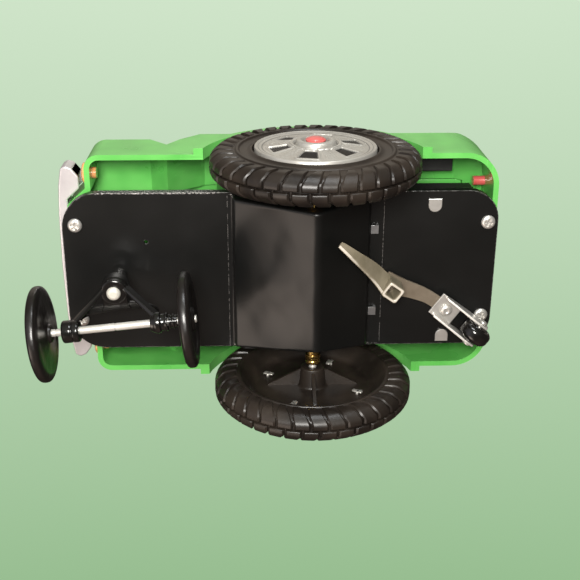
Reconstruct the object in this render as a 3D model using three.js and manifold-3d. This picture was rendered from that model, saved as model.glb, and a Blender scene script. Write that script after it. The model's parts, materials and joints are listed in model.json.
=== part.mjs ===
// Battery-driven stunt vehicle on two large drive wheels, with a free-swivelling wheel truck under the
// nose and a steerable roller at the tail. Millimetres; +X is forward, +Y is the vehicle's left, +Z is up.
// Everything is worked out about the drive axle's centre, and the last lines lift the vehicle onto the
// ground and put the origin under the middle of its box.
import * as THREE from 'three';
import { ConvexGeometry } from 'three/addons/geometries/ConvexGeometry.js';
import { mergeVertices } from 'three/addons/utils/BufferGeometryUtils.js';
import Module from 'manifold-3d';

const wasm = await Module();
wasm.setup();

// ---- driving dimensions -------------------------------------------------------------------------------
const GAP = 0.3; // left between pieces that touch
const RUN_GAP = 0.35; // radial play round anything that turns

const PLATE_FRONT = 100.8;
const PLATE_REAR = -75.2;
const PLATE_HALF_WIDTH = 33.9;
const PLATE_Z = 7.4; // underside
const PLATE_THICK = 0.8;
const PLATE_LIP = 3; // height of the rolled edge above the plate
const PLATE_FRONT_CORNER = 15;
const PLATE_REAR_CORNER = 12.5;

const TYRE_RADIUS = 41; // over the flat tops of the lugs
const TYRE_PLAY = 7.7; // from the base plate's edge to the inner sidewall
const TYRE_WIDTH = 12.4;
const LUG_DEPTH = 2;
const LUG_COUNT = 36;
const DISH_DEPTH = 7; // of the recess in a drive wheel's inner side
const DISH_RADIUS = 25; // of its floor
const BOSS_RADIUS = 4.9;
const AXLE_RADIUS = 1.5;
const BUSH_WALL = 1;
const HUBCAP_RADIUS = 23.6;
const CAP_RING = 7.9; // ring round the hubcap's red dome
const DOME_RADIUS = 3.9;
const HUBCAP_SEAT = 2.6; // depth of the cap's seat below the outer sidewall
const HUBCAP_TABS = [65, 155, 245, 335]; // turned about the axle, degrees
const TAB_CIRCLE = 20.3; // radius that the hubcap's tabs stand on

const COVER_FRONT = 32.6; // pressed gearbox cover under the axle
const COVER_REAR = -23;
const COVER_RIDGE_X = -1;
const COVER_SHOULDER_Z = 3;
const COVER_SHEET = 0.6;
const COVER_FLANGE = 5.6;
const COVER_SIDE_STEP = 0.7; // the cover's side stands this far inside the plate's edge

const BODY_WALL = 2.2;
const BODY_OVERHANG = 13.8; // the body's side beyond the base plate's
const BODY_RIM_Z = 13.5;
const BODY_TAIL = 0.6; // the tail's face beyond the base plate's end
const NOSE_STEP = 1.8; // the nose's face behind the base plate's end
const NOSE_HALF_WIDTH = 27;
const FENDER_STEP = 7.5; // the fenders' faces behind the nose
const FENDER_TOP = 38;
const FENDER_DIP = 8.6; // depth of the dip behind each fender
const DECK_TOP = 46.6;
const HOOD_LOW = 27.4;
const ARCH_PLAY = 5; // between the tyre and its arch
const FLARE = 3.6; // radial width of the arch's flare
const CAB_FRONT = 44;
const CAB_TOP_FRONT = 20;
const CAB_REAR = -36;
const CAB_TOP_REAR = -28;
const CAB_TOP = 80;
const CAB_LEAN = 9; // each side leans in this much from deck to roof
const CAB_STEP = 6.7; // the cab's foot inside the body's side
const WINDOW_LOW = 52;
const WINDOW_HIGH = 74;
const WINDOW_FRAME = 5;
const WINDOW_DEPTH = 1.1;

const SCREW_FRONT_INSET = 5.3; // from the base plate's ends
const SCREW_REAR_INSET = 4.2;
const SCREW_Y = 20.6;
const SCREW_HEAD = 2.9;
const SCREW_SHANK = 1.4;
const POST_RADIUS = 3.3;
const POST_TOP = 34;

const PIVOT_X = 78.8; // swivel axis of the front truck
const TRUCK_TRAIL = 10.7; // the little axle runs this far behind the swivel axis
const TRUCK_TRACK = 56.7;
const TRUCK_ANGLE = 84.4; // degrees from straight ahead, as parked
const TRUCK_BOSS_RADIUS = 4.7;
const TRUCK_NECK_RADIUS = 3.1; // of the boss's tapered top
const SMALL_WHEEL_RADIUS = 18.8;
const SMALL_WHEEL_WIDTH = 4.8;

const LEVER_X = -55.3; // rivet that the steering lever turns on
const LEVER_Y = -16.2;
const LEVER_ANGLE = 36; // degrees, as parked
const LEVER_SHEET = 1.2;
const LEVER_LENGTH = 57;
const RIDGE_PLAY = 1.6; // the finger blade's lowest edge below the cover's ridge
const ROLLER_REACH = 14.6;
const ROLLER_RADIUS = 6.6;
const ROLLER_WIDTH = 6.4;
const ROLLER_Z = -1.6;
const PIN_RADIUS = 1;

const GEAR_MODULE = 0.6;
const AXLE_TEETH = 22;
const IDLER_TEETH = 24;
const SMALL_TEETH = 10;
const LOW_IDLER_TURN = 75; // direction of the low idler from the axle, degrees above +X
const HIGH_IDLER_TURN = 100; // of the high idler from the low one
const MOTOR_TURN = 20; // of the motor from the high idler
const GEAR_WIDTH = 3;
const GEAR_PLAY = 1.32; // between the axle gear's teeth and the cover
const MESH_STEP = 4.6; // from one meshing plane to the next
const IDLER_SHAFT = 1;
const MOTOR_RADIUS = 11;
const MOTOR_LENGTH = 28;
const FRAME_PLAY = 3; // between the gearbox frame's side plates and the cover
const FRAME_SHEET = 1;
const FRAME_HIGH = 40;

const CELL_RADIUS = 7.2;
const CELL_LENGTH = 49;
const CELL_PLAY = 0.5;
const CELL_PROUD = 1.1; // the cells stand this far above the tray's walls
const TRAY_WALL = 1.4;
const TRAY_FLOOR = 14;
const TRAY_PLAY = 0.7; // between the tray and the rear screw posts

// ---- values worked out from them ----------------------------------------------------------------------
const rad = THREE.MathUtils.degToRad;
const pitch = (teeth) => (GEAR_MODULE * teeth) / 2;
const rootRadius = (teeth) => pitch(teeth) - GEAR_MODULE * 1.2;
const tipRadius = (teeth) => pitch(teeth) + GEAR_MODULE * 0.8;

const GROUND_Z = -TYRE_RADIUS;
const PLATE_TOP = PLATE_Z + PLATE_THICK;
const TYRE_INNER = PLATE_HALF_WIDTH + TYRE_PLAY;
const TYRE_OUTER = TYRE_INNER + TYRE_WIDTH;
const WEB_FACE = TYRE_INNER + DISH_DEPTH;
const WEB_OUTER = TYRE_OUTER - HUBCAP_SEAT;
const BUSH_RADIUS = AXLE_RADIUS + BUSH_WALL;
const COVER_HALF_WIDTH = PLATE_HALF_WIDTH - COVER_SIDE_STEP;
const COVER_RIDGE_Z = -(tipRadius(AXLE_TEETH) + GEAR_PLAY + COVER_SHEET);
const LEVER_FOOT_Z = COVER_RIDGE_Z - RIDGE_PLAY;
const BODY_HALF_WIDTH = PLATE_HALF_WIDTH + BODY_OVERHANG;
const BODY_REAR = PLATE_REAR - BODY_TAIL;
const NOSE_FRONT = PLATE_FRONT - NOSE_STEP;
const FENDER_FRONT = NOSE_FRONT - FENDER_STEP;
const ARCH_RADIUS = TYRE_RADIUS + ARCH_PLAY;
const CAB_HALF_WIDTH = BODY_HALF_WIDTH - CAB_STEP;
const SMALL_AXLE_Z = GROUND_Z + SMALL_WHEEL_RADIUS;
const SCREW_XS = { front: PLATE_FRONT - SCREW_FRONT_INSET, rear: PLATE_REAR + SCREW_REAR_INSET };
const SCREW_PLACES = Object.values(SCREW_XS).flatMap((x) => [
  [x, SCREW_Y],
  [x, -SCREW_Y],
]);

// The gear train's centres, and its three meshing planes from the side plate inwards.
const FRAME_Y = COVER_HALF_WIDTH - COVER_SHEET - FRAME_PLAY;
const AXLE_MESH_Y = FRAME_Y - GEAR_WIDTH - 2.4;
const IDLER_MESH_Y = AXLE_MESH_Y - MESH_STEP;
const MOTOR_MESH_Y = IDLER_MESH_Y - MESH_STEP;
const MOTOR_END_Y = MOTOR_MESH_Y - GEAR_WIDTH;
const LOW_IDLER = polar({ x: 0, z: 0 }, pitch(AXLE_TEETH) + pitch(SMALL_TEETH), LOW_IDLER_TURN);
const HIGH_IDLER = polar(LOW_IDLER, pitch(IDLER_TEETH) + pitch(SMALL_TEETH), HIGH_IDLER_TURN);
const MOTOR = polar(HIGH_IDLER, pitch(IDLER_TEETH) + pitch(SMALL_TEETH), MOTOR_TURN);

// The battery tray starts just ahead of the rear screw posts and is as long as two cells need.
const TRAY = {
  rear: SCREW_XS.rear + POST_RADIUS + TRAY_PLAY,
  front: SCREW_XS.rear + POST_RADIUS + TRAY_PLAY + 2 * TRAY_WALL + 4 * (CELL_RADIUS + CELL_PLAY),
  half: CELL_LENGTH / 2 + 6.1,
  high: TRAY_FLOOR + TRAY_WALL + GAP + 2 * CELL_RADIUS - CELL_PROUD,
};

const BATTERY_DOOR = { rear: BODY_REAR + 6.8, front: CAB_REAR - 5, half: TRAY.half - 0.6, rebate: 2 };
const SWITCH = { x: -55, y: BODY_HALF_WIDTH - 10.2, length: 6, width: 4, travel: 4 };
const LAMP = { y: BODY_HALF_WIDTH - 9.3, z: 21, radius: 4.2, stem: 2.3 };
const TAIL_LAMP = { y: BODY_HALF_WIDTH - 16.7, z: 31, radius: 3.4, stem: 2 };
const GRILLE = { half: NOSE_HALF_WIDTH - 5, low: 30.5, high: 40.5, deep: 1.2 };
const BUMPER = { half: BODY_HALF_WIDTH - 5.3, low: BODY_RIM_Z + 3, height: 10.5, reach: 4.8, sheet: 1.2 };

const FRAME_TABS = [
  [COVER_REAR - 2.8, 18.3],
  [COVER_REAR - 2.8, -17.6],
];
const HOLDER_TABS = [
  [-50, 27.9],
  [-56, -29.6],
];
const TAB = { length: 3.6, thick: 1, fold: 2.6, foldThick: 0.6 };

// The gearbox frame's tabs are folded over the cover, the tray's over the base plate, and the steering
// lever's flat tail passes just under the lower ones.
const FRAME_FOLD_Z = PLATE_Z - GAP - COVER_SHEET - GAP;
const HOLDER_FOLD_Z = PLATE_Z - GAP;
const LEVER_TAIL_Z = FRAME_FOLD_Z - TAB.foldThick - GAP - LEVER_SHEET;

function polar(from, distance, degrees) {
  return {
    x: from.x + distance * Math.cos(rad(degrees)),
    z: from.z + distance * Math.sin(rad(degrees)),
  };
}

// ---- solids -------------------------------------------------------------------------------------------
function solid(geometry) {
  const bare = geometry.clone();
  bare.deleteAttribute('normal');
  bare.deleteAttribute('uv');
  const merged = mergeVertices(bare, 1e-4);
  return new wasm.Manifold(
    new wasm.Mesh({
      numProp: 3,
      vertProperties: new Float32Array(merged.attributes.position.array),
      triVerts: new Uint32Array(merged.index.array),
    }),
  );
}

function surface(manifold) {
  const mesh = manifold.getMesh();
  const geometry = new THREE.BufferGeometry();
  geometry.setAttribute('position', new THREE.BufferAttribute(mesh.vertProperties, 3));
  geometry.setIndex(new THREE.BufferAttribute(mesh.triVerts, 1));
  geometry.computeVertexNormals();
  return geometry;
}

const join = (...geometries) => surface(geometries.map(solid).reduce((a, b) => a.add(b)));
const cut = (base, ...tools) => surface(tools.map(solid).reduce((a, b) => a.subtract(b), solid(base)));
const common = (a, b) => surface(solid(a).intersect(solid(b)));

function block(x0, x1, y0, y1, z0, z1) {
  const box = new THREE.BoxGeometry(x1 - x0, y1 - y0, z1 - z0);
  return box.translate((x0 + x1) / 2, (y0 + y1) / 2, (z0 + z1) / 2);
}

// A round bar between two points; its sides can be given for small or large bars.
function bar(radius, from, to, sides = 16, endRadius = radius) {
  const a = new THREE.Vector3(...from);
  const b = new THREE.Vector3(...to);
  const along = b.clone().sub(a);
  const cylinder = new THREE.CylinderGeometry(endRadius, radius, along.length(), sides);
  const turn = new THREE.Quaternion().setFromUnitVectors(
    new THREE.Vector3(0, 1, 0),
    along.clone().normalize(),
  );
  return cylinder.applyQuaternion(turn).translate(...a.add(b).multiplyScalar(0.5).toArray());
}

// A profile of [radius, along] points turned round the Y axis, lowest point first on its outside.
function turned(profile, sides) {
  return new THREE.LatheGeometry(profile.map(([r, y]) => new THREE.Vector2(r, y)), sides);
}

// A closed outline in plan, raised from z0 to z1.
function raised(outline, z0, z1) {
  const shape = outline instanceof THREE.Shape ? outline : new THREE.Shape(points2(outline));
  const made = new THREE.ExtrudeGeometry(shape, { depth: z1 - z0, bevelEnabled: false, curveSegments: 6 });
  return made.translate(0, 0, z0);
}

// A closed outline in side view (x, z), carried across from y0 to y1.
function across(outline, y0, y1) {
  const shape = outline instanceof THREE.Shape ? outline : new THREE.Shape(points2(outline));
  const made = new THREE.ExtrudeGeometry(shape, { depth: y1 - y0, bevelEnabled: false, curveSegments: 6 });
  return made.rotateX(Math.PI / 2).translate(0, y1, 0);
}

const points2 = (list) => list.map(([x, y]) => new THREE.Vector2(x, y));
const hull = (list) => new ConvexGeometry(list.map((p) => new THREE.Vector3(...p)));

// A block whose top rectangle differs from its bottom one.
function tapered(low, high) {
  const ring = ({ x0, x1, y, z }) => [
    [x0, -y, z],
    [x0, y, z],
    [x1, -y, z],
    [x1, y, z],
  ];
  return hull([...ring(low), ...ring(high)]);
}

// The same profile for the other side of the vehicle.
const mirrored = (profile, side) => (side > 0 ? profile : profile.map(([r, y]) => [r, -y]).reverse());

// A slab between y0 and y1 on one side of the vehicle.
const slabY = (side, y0, y1) => [Math.min(side * y0, side * y1), Math.max(side * y0, side * y1)];

// ---- materials and nodes ------------------------------------------------------------------------------
const finish = (color, roughness, metalness) =>
  new THREE.MeshStandardMaterial({ color, roughness, metalness });
const green = finish(0x2fbf3a, 0.35, 0);
const enamel = finish(0x0b0b0c, 0.25, 0.2);
const blackPlastic = finish(0x161513, 0.45, 0);
const glossBlack = finish(0x101010, 0.2, 0);
const chromed = finish(0xe2e2e0, 0.12, 1);
const steel = finish(0xb9b4aa, 0.35, 1);
const nickel = finish(0xc9c7c2, 0.25, 1);
const brass = finish(0xb98a3a, 0.3, 1);
const redPlastic = finish(0xd8332c, 0.35, 0);
const amber = finish(0xe2a070, 0.2, 0);
const smoke = finish(0x2a3130, 0.1, 0);
const nylon = finish(0xe9e6dc, 0.5, 0);
const zinc = finish(0xa8a9aa, 0.4, 1);
const cellWrap = finish(0x3a5c8c, 0.4, 0.3);

const vehicle = new THREE.Group();

function node(name, geometry, material, parent = vehicle) {
  const mesh = new THREE.Mesh(geometry, material);
  mesh.name = name;
  parent.add(mesh);
  return mesh;
}

const SIDES = [
  ['left', 1],
  ['right', -1],
];

// ---- body ---------------------------------------------------------------------------------------------
// Plan outline of the body, drawn in by `inset`: nose, fender fronts, straight sides, rounded tail.
function bodyPlan(inset) {
  const side = BODY_HALF_WIDTH - inset;
  const nose = NOSE_HALF_WIDTH - inset * 0.4;
  const front = FENDER_FRONT - inset;
  const rear = BODY_REAR + inset;
  const fillet = 7;
  const frontCorner = Math.max(6 - inset, 1);
  const rearCorner = 14 - inset;
  const shape = new THREE.Shape();
  shape.moveTo(NOSE_FRONT - inset, -nose);
  shape.lineTo(NOSE_FRONT - inset, nose);
  shape.lineTo(front, nose + fillet);
  shape.lineTo(front, side - frontCorner);
  shape.absarc(front - frontCorner, side - frontCorner, frontCorner, 0, Math.PI / 2, false);
  shape.absarc(rear + rearCorner, side - rearCorner, rearCorner, Math.PI / 2, Math.PI, false);
  shape.absarc(rear + rearCorner, rearCorner - side, rearCorner, Math.PI, 1.5 * Math.PI, false);
  shape.absarc(front - frontCorner, frontCorner - side, frontCorner, 1.5 * Math.PI, 2 * Math.PI, false);
  shape.lineTo(front, -nose - fillet);
  shape.closePath();
  return shape;
}

// Side outline of the lower body: fender, dip behind it, deck and sloping tail.
function bodySide(inset, floor) {
  const fender = FENDER_TOP - inset;
  const deck = DECK_TOP - inset;
  const dip = fender - FENDER_DIP;
  const tailStep = 11;
  const tailDrop = 9;
  return [
    [NOSE_FRONT + 1, floor],
    [NOSE_FRONT + 1, fender - 4],
    [FENDER_FRONT - 6 - inset * 0.5, fender],
    [67, fender],
    [59.5, dip],
    [54.5 - inset * 0.5, fender],
    [46.5 - inset * 0.7, deck],
    [BODY_REAR + tailStep + inset * 0.6, deck],
    [BODY_REAR + inset, deck - tailDrop],
    [BODY_REAR + inset, floor],
  ];
}

function lowerBody(inset, floor) {
  const width = BODY_HALF_WIDTH + 5;
  return common(across(bodySide(inset, floor), -width, width), raised(bodyPlan(inset), floor, CAB_TOP));
}

// Bonnet between the fenders, a little narrower and lower towards the nose.
function hood(inset) {
  const front = NOSE_FRONT - inset;
  const back = CAB_FRONT - 4;
  const low = HOOD_LOW - inset;
  const pair = (x, y, z) => [
    [x, -y, z],
    [x, y, z],
  ];
  return hull([
    ...pair(back, NOSE_HALF_WIDTH + 4 - inset, low),
    ...pair(back, NOSE_HALF_WIDTH + 1 - inset, DECK_TOP + 2.4 - inset),
    ...pair(front, NOSE_HALF_WIDTH - 0.5 - inset, low),
    ...pair(front, NOSE_HALF_WIDTH - 3 - inset, DECK_TOP - 3.6 - inset),
  ]);
}

function cab(inset) {
  const foot = DECK_TOP - 3 - inset;
  return tapered(
    { x0: CAB_REAR + inset, x1: CAB_FRONT - inset, y: CAB_HALF_WIDTH - inset, z: foot },
    {
      x0: CAB_TOP_REAR + inset,
      x1: CAB_TOP_FRONT - inset,
      y: CAB_HALF_WIDTH - CAB_LEAN - inset,
      z: CAB_TOP - inset,
    },
  );
}

// Flare over each wheel arch, standing proud of the side.
function archFlare(side) {
  const inner = BODY_HALF_WIDTH - 3.7;
  const outer = BODY_HALF_WIDTH + 2.5;
  const radius = ARCH_RADIUS + FLARE;
  const past = radius + 5;
  const below = block(-past, past, -past, past, -past, BODY_RIM_Z);
  return cut(bar(radius, [0, side * inner, 0], [0, side * outer, 0], 48), below);
}

// The four windows are panels let into the cab; `grow` makes the recess larger than the panel.
function windowPanels(grow) {
  const lean = (z) => (z - DECK_TOP + 3) / (CAB_TOP - DECK_TOP + 3);
  const frontX = (z) => CAB_FRONT + (CAB_TOP_FRONT - CAB_FRONT) * lean(z);
  const rearX = (z) => CAB_REAR + (CAB_TOP_REAR - CAB_REAR) * lean(z);
  const sideY = (z) => CAB_HALF_WIDTH - CAB_LEAN * lean(z);
  const low = WINDOW_LOW - grow;
  const high = WINDOW_HIGH + grow;
  const deep = WINDOW_DEPTH + grow;
  const proud = 0.02;
  const frame = WINDOW_FRAME - grow;
  const panel = (edge) => hull([-deep, proud].flatMap((d) => [...edge(low, d), ...edge(high, d)]));
  const endPanel = (x) => panel((z, d) => [-1, 1].map((s) => [x(z, d), s * (sideY(z) - frame), z]));
  const sidePanel = (s) =>
    panel((z, d) => [
      [frontX(z) - frame - 2, s * (sideY(z) + d), z],
      [rearX(z) + frame, s * (sideY(z) + d), z],
    ]);
  return {
    windscreen: endPanel((z, d) => frontX(z) + d),
    rear_window: endPanel((z, d) => rearX(z) - d),
    side_window_left: sidePanel(1),
    side_window_right: sidePanel(-1),
  };
}

// Rebated opening for the battery door: a wide shallow step and a smaller hole through the deck.
function doorOpening() {
  const { rear, front, half, rebate } = BATTERY_DOOR;
  const step = block(rear - GAP, front + GAP, -half - GAP, half + GAP, DECK_TOP - 1, DECK_TOP + 3);
  const inner = half - rebate;
  const through = block(rear + rebate, front - rebate, -inner, inner, DECK_TOP - 5, DECK_TOP + 3);
  return [step, through];
}

function switchOpening() {
  const { x, y, length, width, travel } = SWITCH;
  const back = x - length / 2 - GAP;
  const front = x + length / 2 + travel + GAP;
  return block(back, front, y - width / 2 - GAP, y + width / 2 + GAP, DECK_TOP - 4, DECK_TOP + 4);
}

function bodyShell() {
  const sides = SIDES.map(([, s]) => s);
  const outer = [lowerBody(0, BODY_RIM_Z), hood(0), cab(0), ...sides.map(archFlare)];
  const hollow = [lowerBody(BODY_WALL, BODY_RIM_Z - 5), hood(BODY_WALL), cab(BODY_WALL)];
  const wells = sides.map((s) =>
    bar(ARCH_RADIUS, [0, s * (TYRE_INNER - 2.6), 0], [0, s * (TYRE_OUTER + 6), 0], 48),
  );
  const posts = SCREW_PLACES.map(([x, y]) => bar(POST_RADIUS, [x, y, PLATE_TOP + GAP], [x, y, POST_TOP]));
  const screwHoles = SCREW_PLACES.map(([x, y]) => bar(SCREW_SHANK + GAP, [x, y, 0], [x, y, 20], 12));
  const stemHole = ({ y, z, stem }, x, s) => bar(stem + GAP, [x - 5, s * y, z], [x + 9, s * y, z], 12);
  const stemHoles = sides.flatMap((s) => [
    stemHole(LAMP, FENDER_FRONT - 4, s),
    stemHole(TAIL_LAMP, BODY_REAR, s),
  ]);
  const grilleSeat = block(
    NOSE_FRONT - GRILLE.deep - GAP,
    NOSE_FRONT + 4,
    -GRILLE.half - GAP,
    GRILLE.half + GAP,
    GRILLE.low - GAP,
    GRILLE.high + GAP,
  );
  const half = BODY_HALF_WIDTH + 10;
  const underPlate = block(CAB_FRONT - 4, NOSE_FRONT + 20, -half, half, GROUND_Z, PLATE_TOP + GAP);
  const openings = [underPlate, grilleSeat, switchOpening(), ...doorOpening()];
  return cut(
    join(cut(join(...outer), ...hollow, ...wells), ...posts),
    ...openings,
    ...Object.values(windowPanels(GAP)),
    ...screwHoles,
    ...stemHoles,
  );
}

function batteryDoor() {
  const { rear, front, half, rebate } = BATTERY_DOOR;
  const step = rebate + GAP;
  const lid = block(rear, front, -half, half, DECK_TOP - 0.7, DECK_TOP + 1.2);
  const plug = block(rear + step, front - step, step - half, half - step, DECK_TOP - 2.4, DECK_TOP);
  const ribs = [-0.6, -0.2, 0.2, 0.6].map((f) => {
    const middle = half * f;
    return block(rear + 3, front - 3, middle - 2, middle + 2, DECK_TOP + 1, DECK_TOP + 2);
  });
  return join(lid, plug, ...ribs);
}

function grille() {
  const { half, low, high, deep } = GRILLE;
  const panel = block(NOSE_FRONT - deep, NOSE_FRONT - 0.2, -half, half, low, high);
  const count = 6;
  const slots = Array.from({ length: count }, (_, i) => {
    const y = half * (((i + 0.5) * 2) / count - 1) * 0.96;
    return block(NOSE_FRONT - 0.9, NOSE_FRONT + 1, y - 2, y + 2, low + 1.4, high - 1.4);
  });
  return cut(panel, ...slots);
}

// A lens with a stem that plugs into the body; `out` is the way it faces along X.
function lamp(faceX, out, side, { y, z, radius, stem }, stemLength) {
  const at = (x) => [faceX + out * x, side * y, z];
  return join(bar(radius, at(GAP), at(2), 24, radius - 1.2), bar(stem, at(-stemLength), at(1), 12));
}

// Bowed chrome channel, open at the back, wrapped round the nose.
function bumper() {
  const { half, low, height, reach, sheet } = BUMPER;
  const front = NOSE_FRONT + reach;
  const back = FENDER_FRONT + 2.8;
  const outline = (wall, shift) => {
    const leftHalf = [
      [front - wall, 0],
      [front - 0.4 - wall, half * 0.52],
      [front - 1.2 - wall, half - 8],
      [front - 2.4 - wall, half - 1 - wall],
      [front - 4.4, half - wall],
      [back + 2.7 + shift, half - 0.9 - wall],
      [back + shift, half - 4.5],
      [back + shift, NOSE_HALF_WIDTH + 6],
      [NOSE_FRONT + GAP + shift, NOSE_HALF_WIDTH + 1.5],
    ];
    const rightHalf = leftHalf.slice(1).map(([x, y]) => [x, -y]);
    return [...rightHalf.reverse(), ...leftHalf];
  };
  const inside = raised(outline(sheet, -6), low + sheet, low + height - sheet);
  return cut(raised(outline(0, 0), low, low + height), inside);
}

// ---- base plate and gearbox cover ---------------------------------------------------------------------
function platePlan(inset) {
  const half = PLATE_HALF_WIDTH - inset;
  const front = PLATE_FRONT - inset;
  const rear = PLATE_REAR + inset;
  const f = PLATE_FRONT_CORNER - inset;
  const r = PLATE_REAR_CORNER - inset;
  const shape = new THREE.Shape();
  shape.absarc(front - f, half - f, f, 0, Math.PI / 2, false);
  shape.absarc(rear + r, half - r, r, Math.PI / 2, Math.PI, false);
  shape.absarc(rear + r, r - half, r, Math.PI, 1.5 * Math.PI, false);
  shape.absarc(front - f, f - half, f, 1.5 * Math.PI, 2 * Math.PI, false);
  shape.closePath();
  return shape;
}

// Slot that a tab's leg passes through.
function tabSlot([x, y], high = PLATE_TOP + 4) {
  const play = TAB.thick / 2 + GAP;
  const half = TAB.length / 2 + GAP;
  return block(x - play, x + play, y - half, y + half, 0, high);
}

// A leg that reaches up to `top`, its end folded forwards under a sheet at `foldZ`.
function tab([x, y], top, foldZ) {
  const back = x - TAB.thick / 2;
  const half = TAB.length / 2;
  const low = foldZ - TAB.foldThick;
  const leg = block(back, x + TAB.thick / 2, y - half, y + half, low, top);
  return join(leg, block(back, x + TAB.fold, y - half, y + half, low, foldZ));
}

function basePlate() {
  const sheet = raised(platePlan(0), PLATE_Z, PLATE_TOP);
  const rim = raised(platePlan(0), PLATE_Z + PLATE_THICK / 2, PLATE_TOP + PLATE_LIP);
  const lip = cut(rim, raised(platePlan(PLATE_THICK), 0, PLATE_TOP + PLATE_LIP + 1));
  const land = 1.5; // the cover's ends lie on this much plate
  const sideLand = COVER_HALF_WIDTH - 2.6;
  const hole = block(COVER_REAR + land, COVER_FRONT - land, -sideLand, sideLand, 0, PLATE_TOP + 1);
  const round = (x, y, r) => bar(r, [x, y, 0], [x, y, 30], 12);
  return cut(
    join(sheet, lip),
    hole,
    ...SCREW_PLACES.map(([x, y]) => round(x, y, SCREW_SHANK + GAP)),
    round(PIVOT_X, 0, AXLE_RADIUS + GAP),
    round(LEVER_X, LEVER_Y, AXLE_RADIUS + GAP),
    ...[...FRAME_TABS, ...HOLDER_TABS].map((place) => tabSlot(place)),
    round(67.6, 13.2, 0.8),
    round(-48, -12.8, 0.8),
  );
}

// Pressed cover: a pan with two slopes meeting in a ridge, its ends drawn in towards the ridge.
function gearboxCover() {
  const top = PLATE_Z - GAP;
  const pan = (inset, rim) => {
    const side = COVER_HALF_WIDTH - inset;
    const shoulder = COVER_SHOULDER_Z + inset * 0.6;
    const ring = (x, z, y) => [
      [x, -y, z],
      [x, y, z],
    ];
    return hull([
      ...ring(COVER_FRONT - inset, rim, side),
      ...ring(COVER_FRONT - inset, shoulder, side - 1),
      ...ring(COVER_RIDGE_X, COVER_RIDGE_Z + inset, side - 3.2),
      ...ring(COVER_REAR + inset, shoulder, side - 1),
      ...ring(COVER_REAR + inset, rim, side),
    ]);
  };
  const flange = (x0, x1) => block(x0, x1, -COVER_HALF_WIDTH, COVER_HALF_WIDTH, top - COVER_SHEET, top);
  const rearFlange = flange(COVER_REAR - COVER_FLANGE, COVER_REAR + 1);
  const frontFlange = flange(COVER_FRONT - 1, COVER_FRONT + 2);
  return cut(
    join(pan(0, top), rearFlange, frontFlange),
    pan(COVER_SHEET, top + 1),
    bar(BUSH_RADIUS + GAP, [0, -60, 0], [0, 60, 0], 20),
    ...FRAME_TABS.map((place) => tabSlot(place)),
  );
}

function screw(x, y) {
  const headZ = PLATE_Z - GAP;
  const thick = 1.3;
  const head = bar(SCREW_HEAD, [x, y, headZ], [x, y, headZ - thick], 16, SCREW_HEAD - 0.9);
  const shank = bar(SCREW_SHANK, [x, y, headZ - 0.5], [x, y, 19], 12);
  const cross = [20, 110].map((turn) =>
    block(-1.7, 1.7, -0.35, 0.35, -0.5, 0.5).rotateZ(rad(turn)).translate(x, y, headZ - thick),
  );
  return cut(join(head, shank), ...cross);
}

// ---- gearbox ------------------------------------------------------------------------------------------
// Bent steel frame: two side plates with the axle's bush holes, a motor wall, a bridge and two tabs.
function gearboxFrame() {
  const foot = PLATE_TOP + GAP;
  const back = -21;
  const side = [
    [back, foot],
    [back, 30],
    [-12, FRAME_HIGH],
    [26, FRAME_HIGH],
    [29.5, 34],
    [29.5, foot],
    [13, foot],
    [5, -BUSH_RADIUS - 1.9],
    [-5, -BUSH_RADIUS - 1.9],
    [-13, foot],
  ];
  const plates = [1, -1].map((s) => across(side, ...slabY(s, FRAME_Y - FRAME_SHEET, FRAME_Y)));
  const bridge = block(-12, 26, -FRAME_Y, FRAME_Y, FRAME_HIGH - FRAME_SHEET, FRAME_HIGH);
  const wallOutline = [
    [-9, 5],
    [-9, FRAME_HIGH],
    [26, FRAME_HIGH],
    [26, 12],
    [12, 5],
  ];
  const wall = across(wallOutline, MOTOR_END_Y + GAP, MOTOR_END_Y + GAP + FRAME_SHEET);
  const feet = FRAME_TABS.map(([x, y]) => {
    const s = Math.sign(y);
    const near = Math.abs(y) - 2.5;
    const rail = block(back, back + FRAME_SHEET, ...slabY(s, near, FRAME_Y), foot, foot + 5.7);
    const arm = block(x - TAB.thick / 2, back + FRAME_SHEET, y - 2.5, y + 2.5, foot, foot + FRAME_SHEET);
    return join(arm, rail, tab([x, y], foot + FRAME_SHEET, FRAME_FOLD_Z));
  });
  const hole = (r, { x, z }) => bar(r, [x, -60, z], [x, 60, z], 20);
  const noseHole = bar(3.4, [MOTOR.x, MOTOR_END_Y - 1, MOTOR.z], [MOTOR.x, MOTOR_END_Y + 4, MOTOR.z]);
  return cut(
    join(...plates, bridge, wall, ...feet),
    hole(BUSH_RADIUS + GAP, { x: 0, z: 0 }),
    hole(IDLER_SHAFT + GAP, LOW_IDLER),
    hole(IDLER_SHAFT + GAP, HIGH_IDLER),
    noseHole,
  );
}

// Straight-sided teeth; `phase` counts teeth from +X.
function gearOutline(teeth, phase) {
  const root = rootRadius(teeth);
  const tip = tipRadius(teeth);
  const step = (2 * Math.PI) / teeth;
  const outline = [];
  for (let i = 0; i < teeth; i += 1) {
    const a = (i + phase) * step;
    for (const [r, f] of [
      [root, -0.24],
      [tip, -0.11],
      [tip, 0.11],
      [root, 0.24],
    ]) {
      outline.push([r * Math.cos(a + f * step), r * Math.sin(a + f * step)]);
    }
  }
  return outline;
}

const gear = (teeth, y0, y1, phase) => across(gearOutline(teeth, phase), y0, y1);

// Tooth phases that put a tooth of one gear in a gap of the other along their line of centres.
const toothAt = (teeth, degrees) => (degrees / 360) * teeth;
const gapAt = (teeth, degrees) => toothAt(teeth, degrees) + 0.5;

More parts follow.
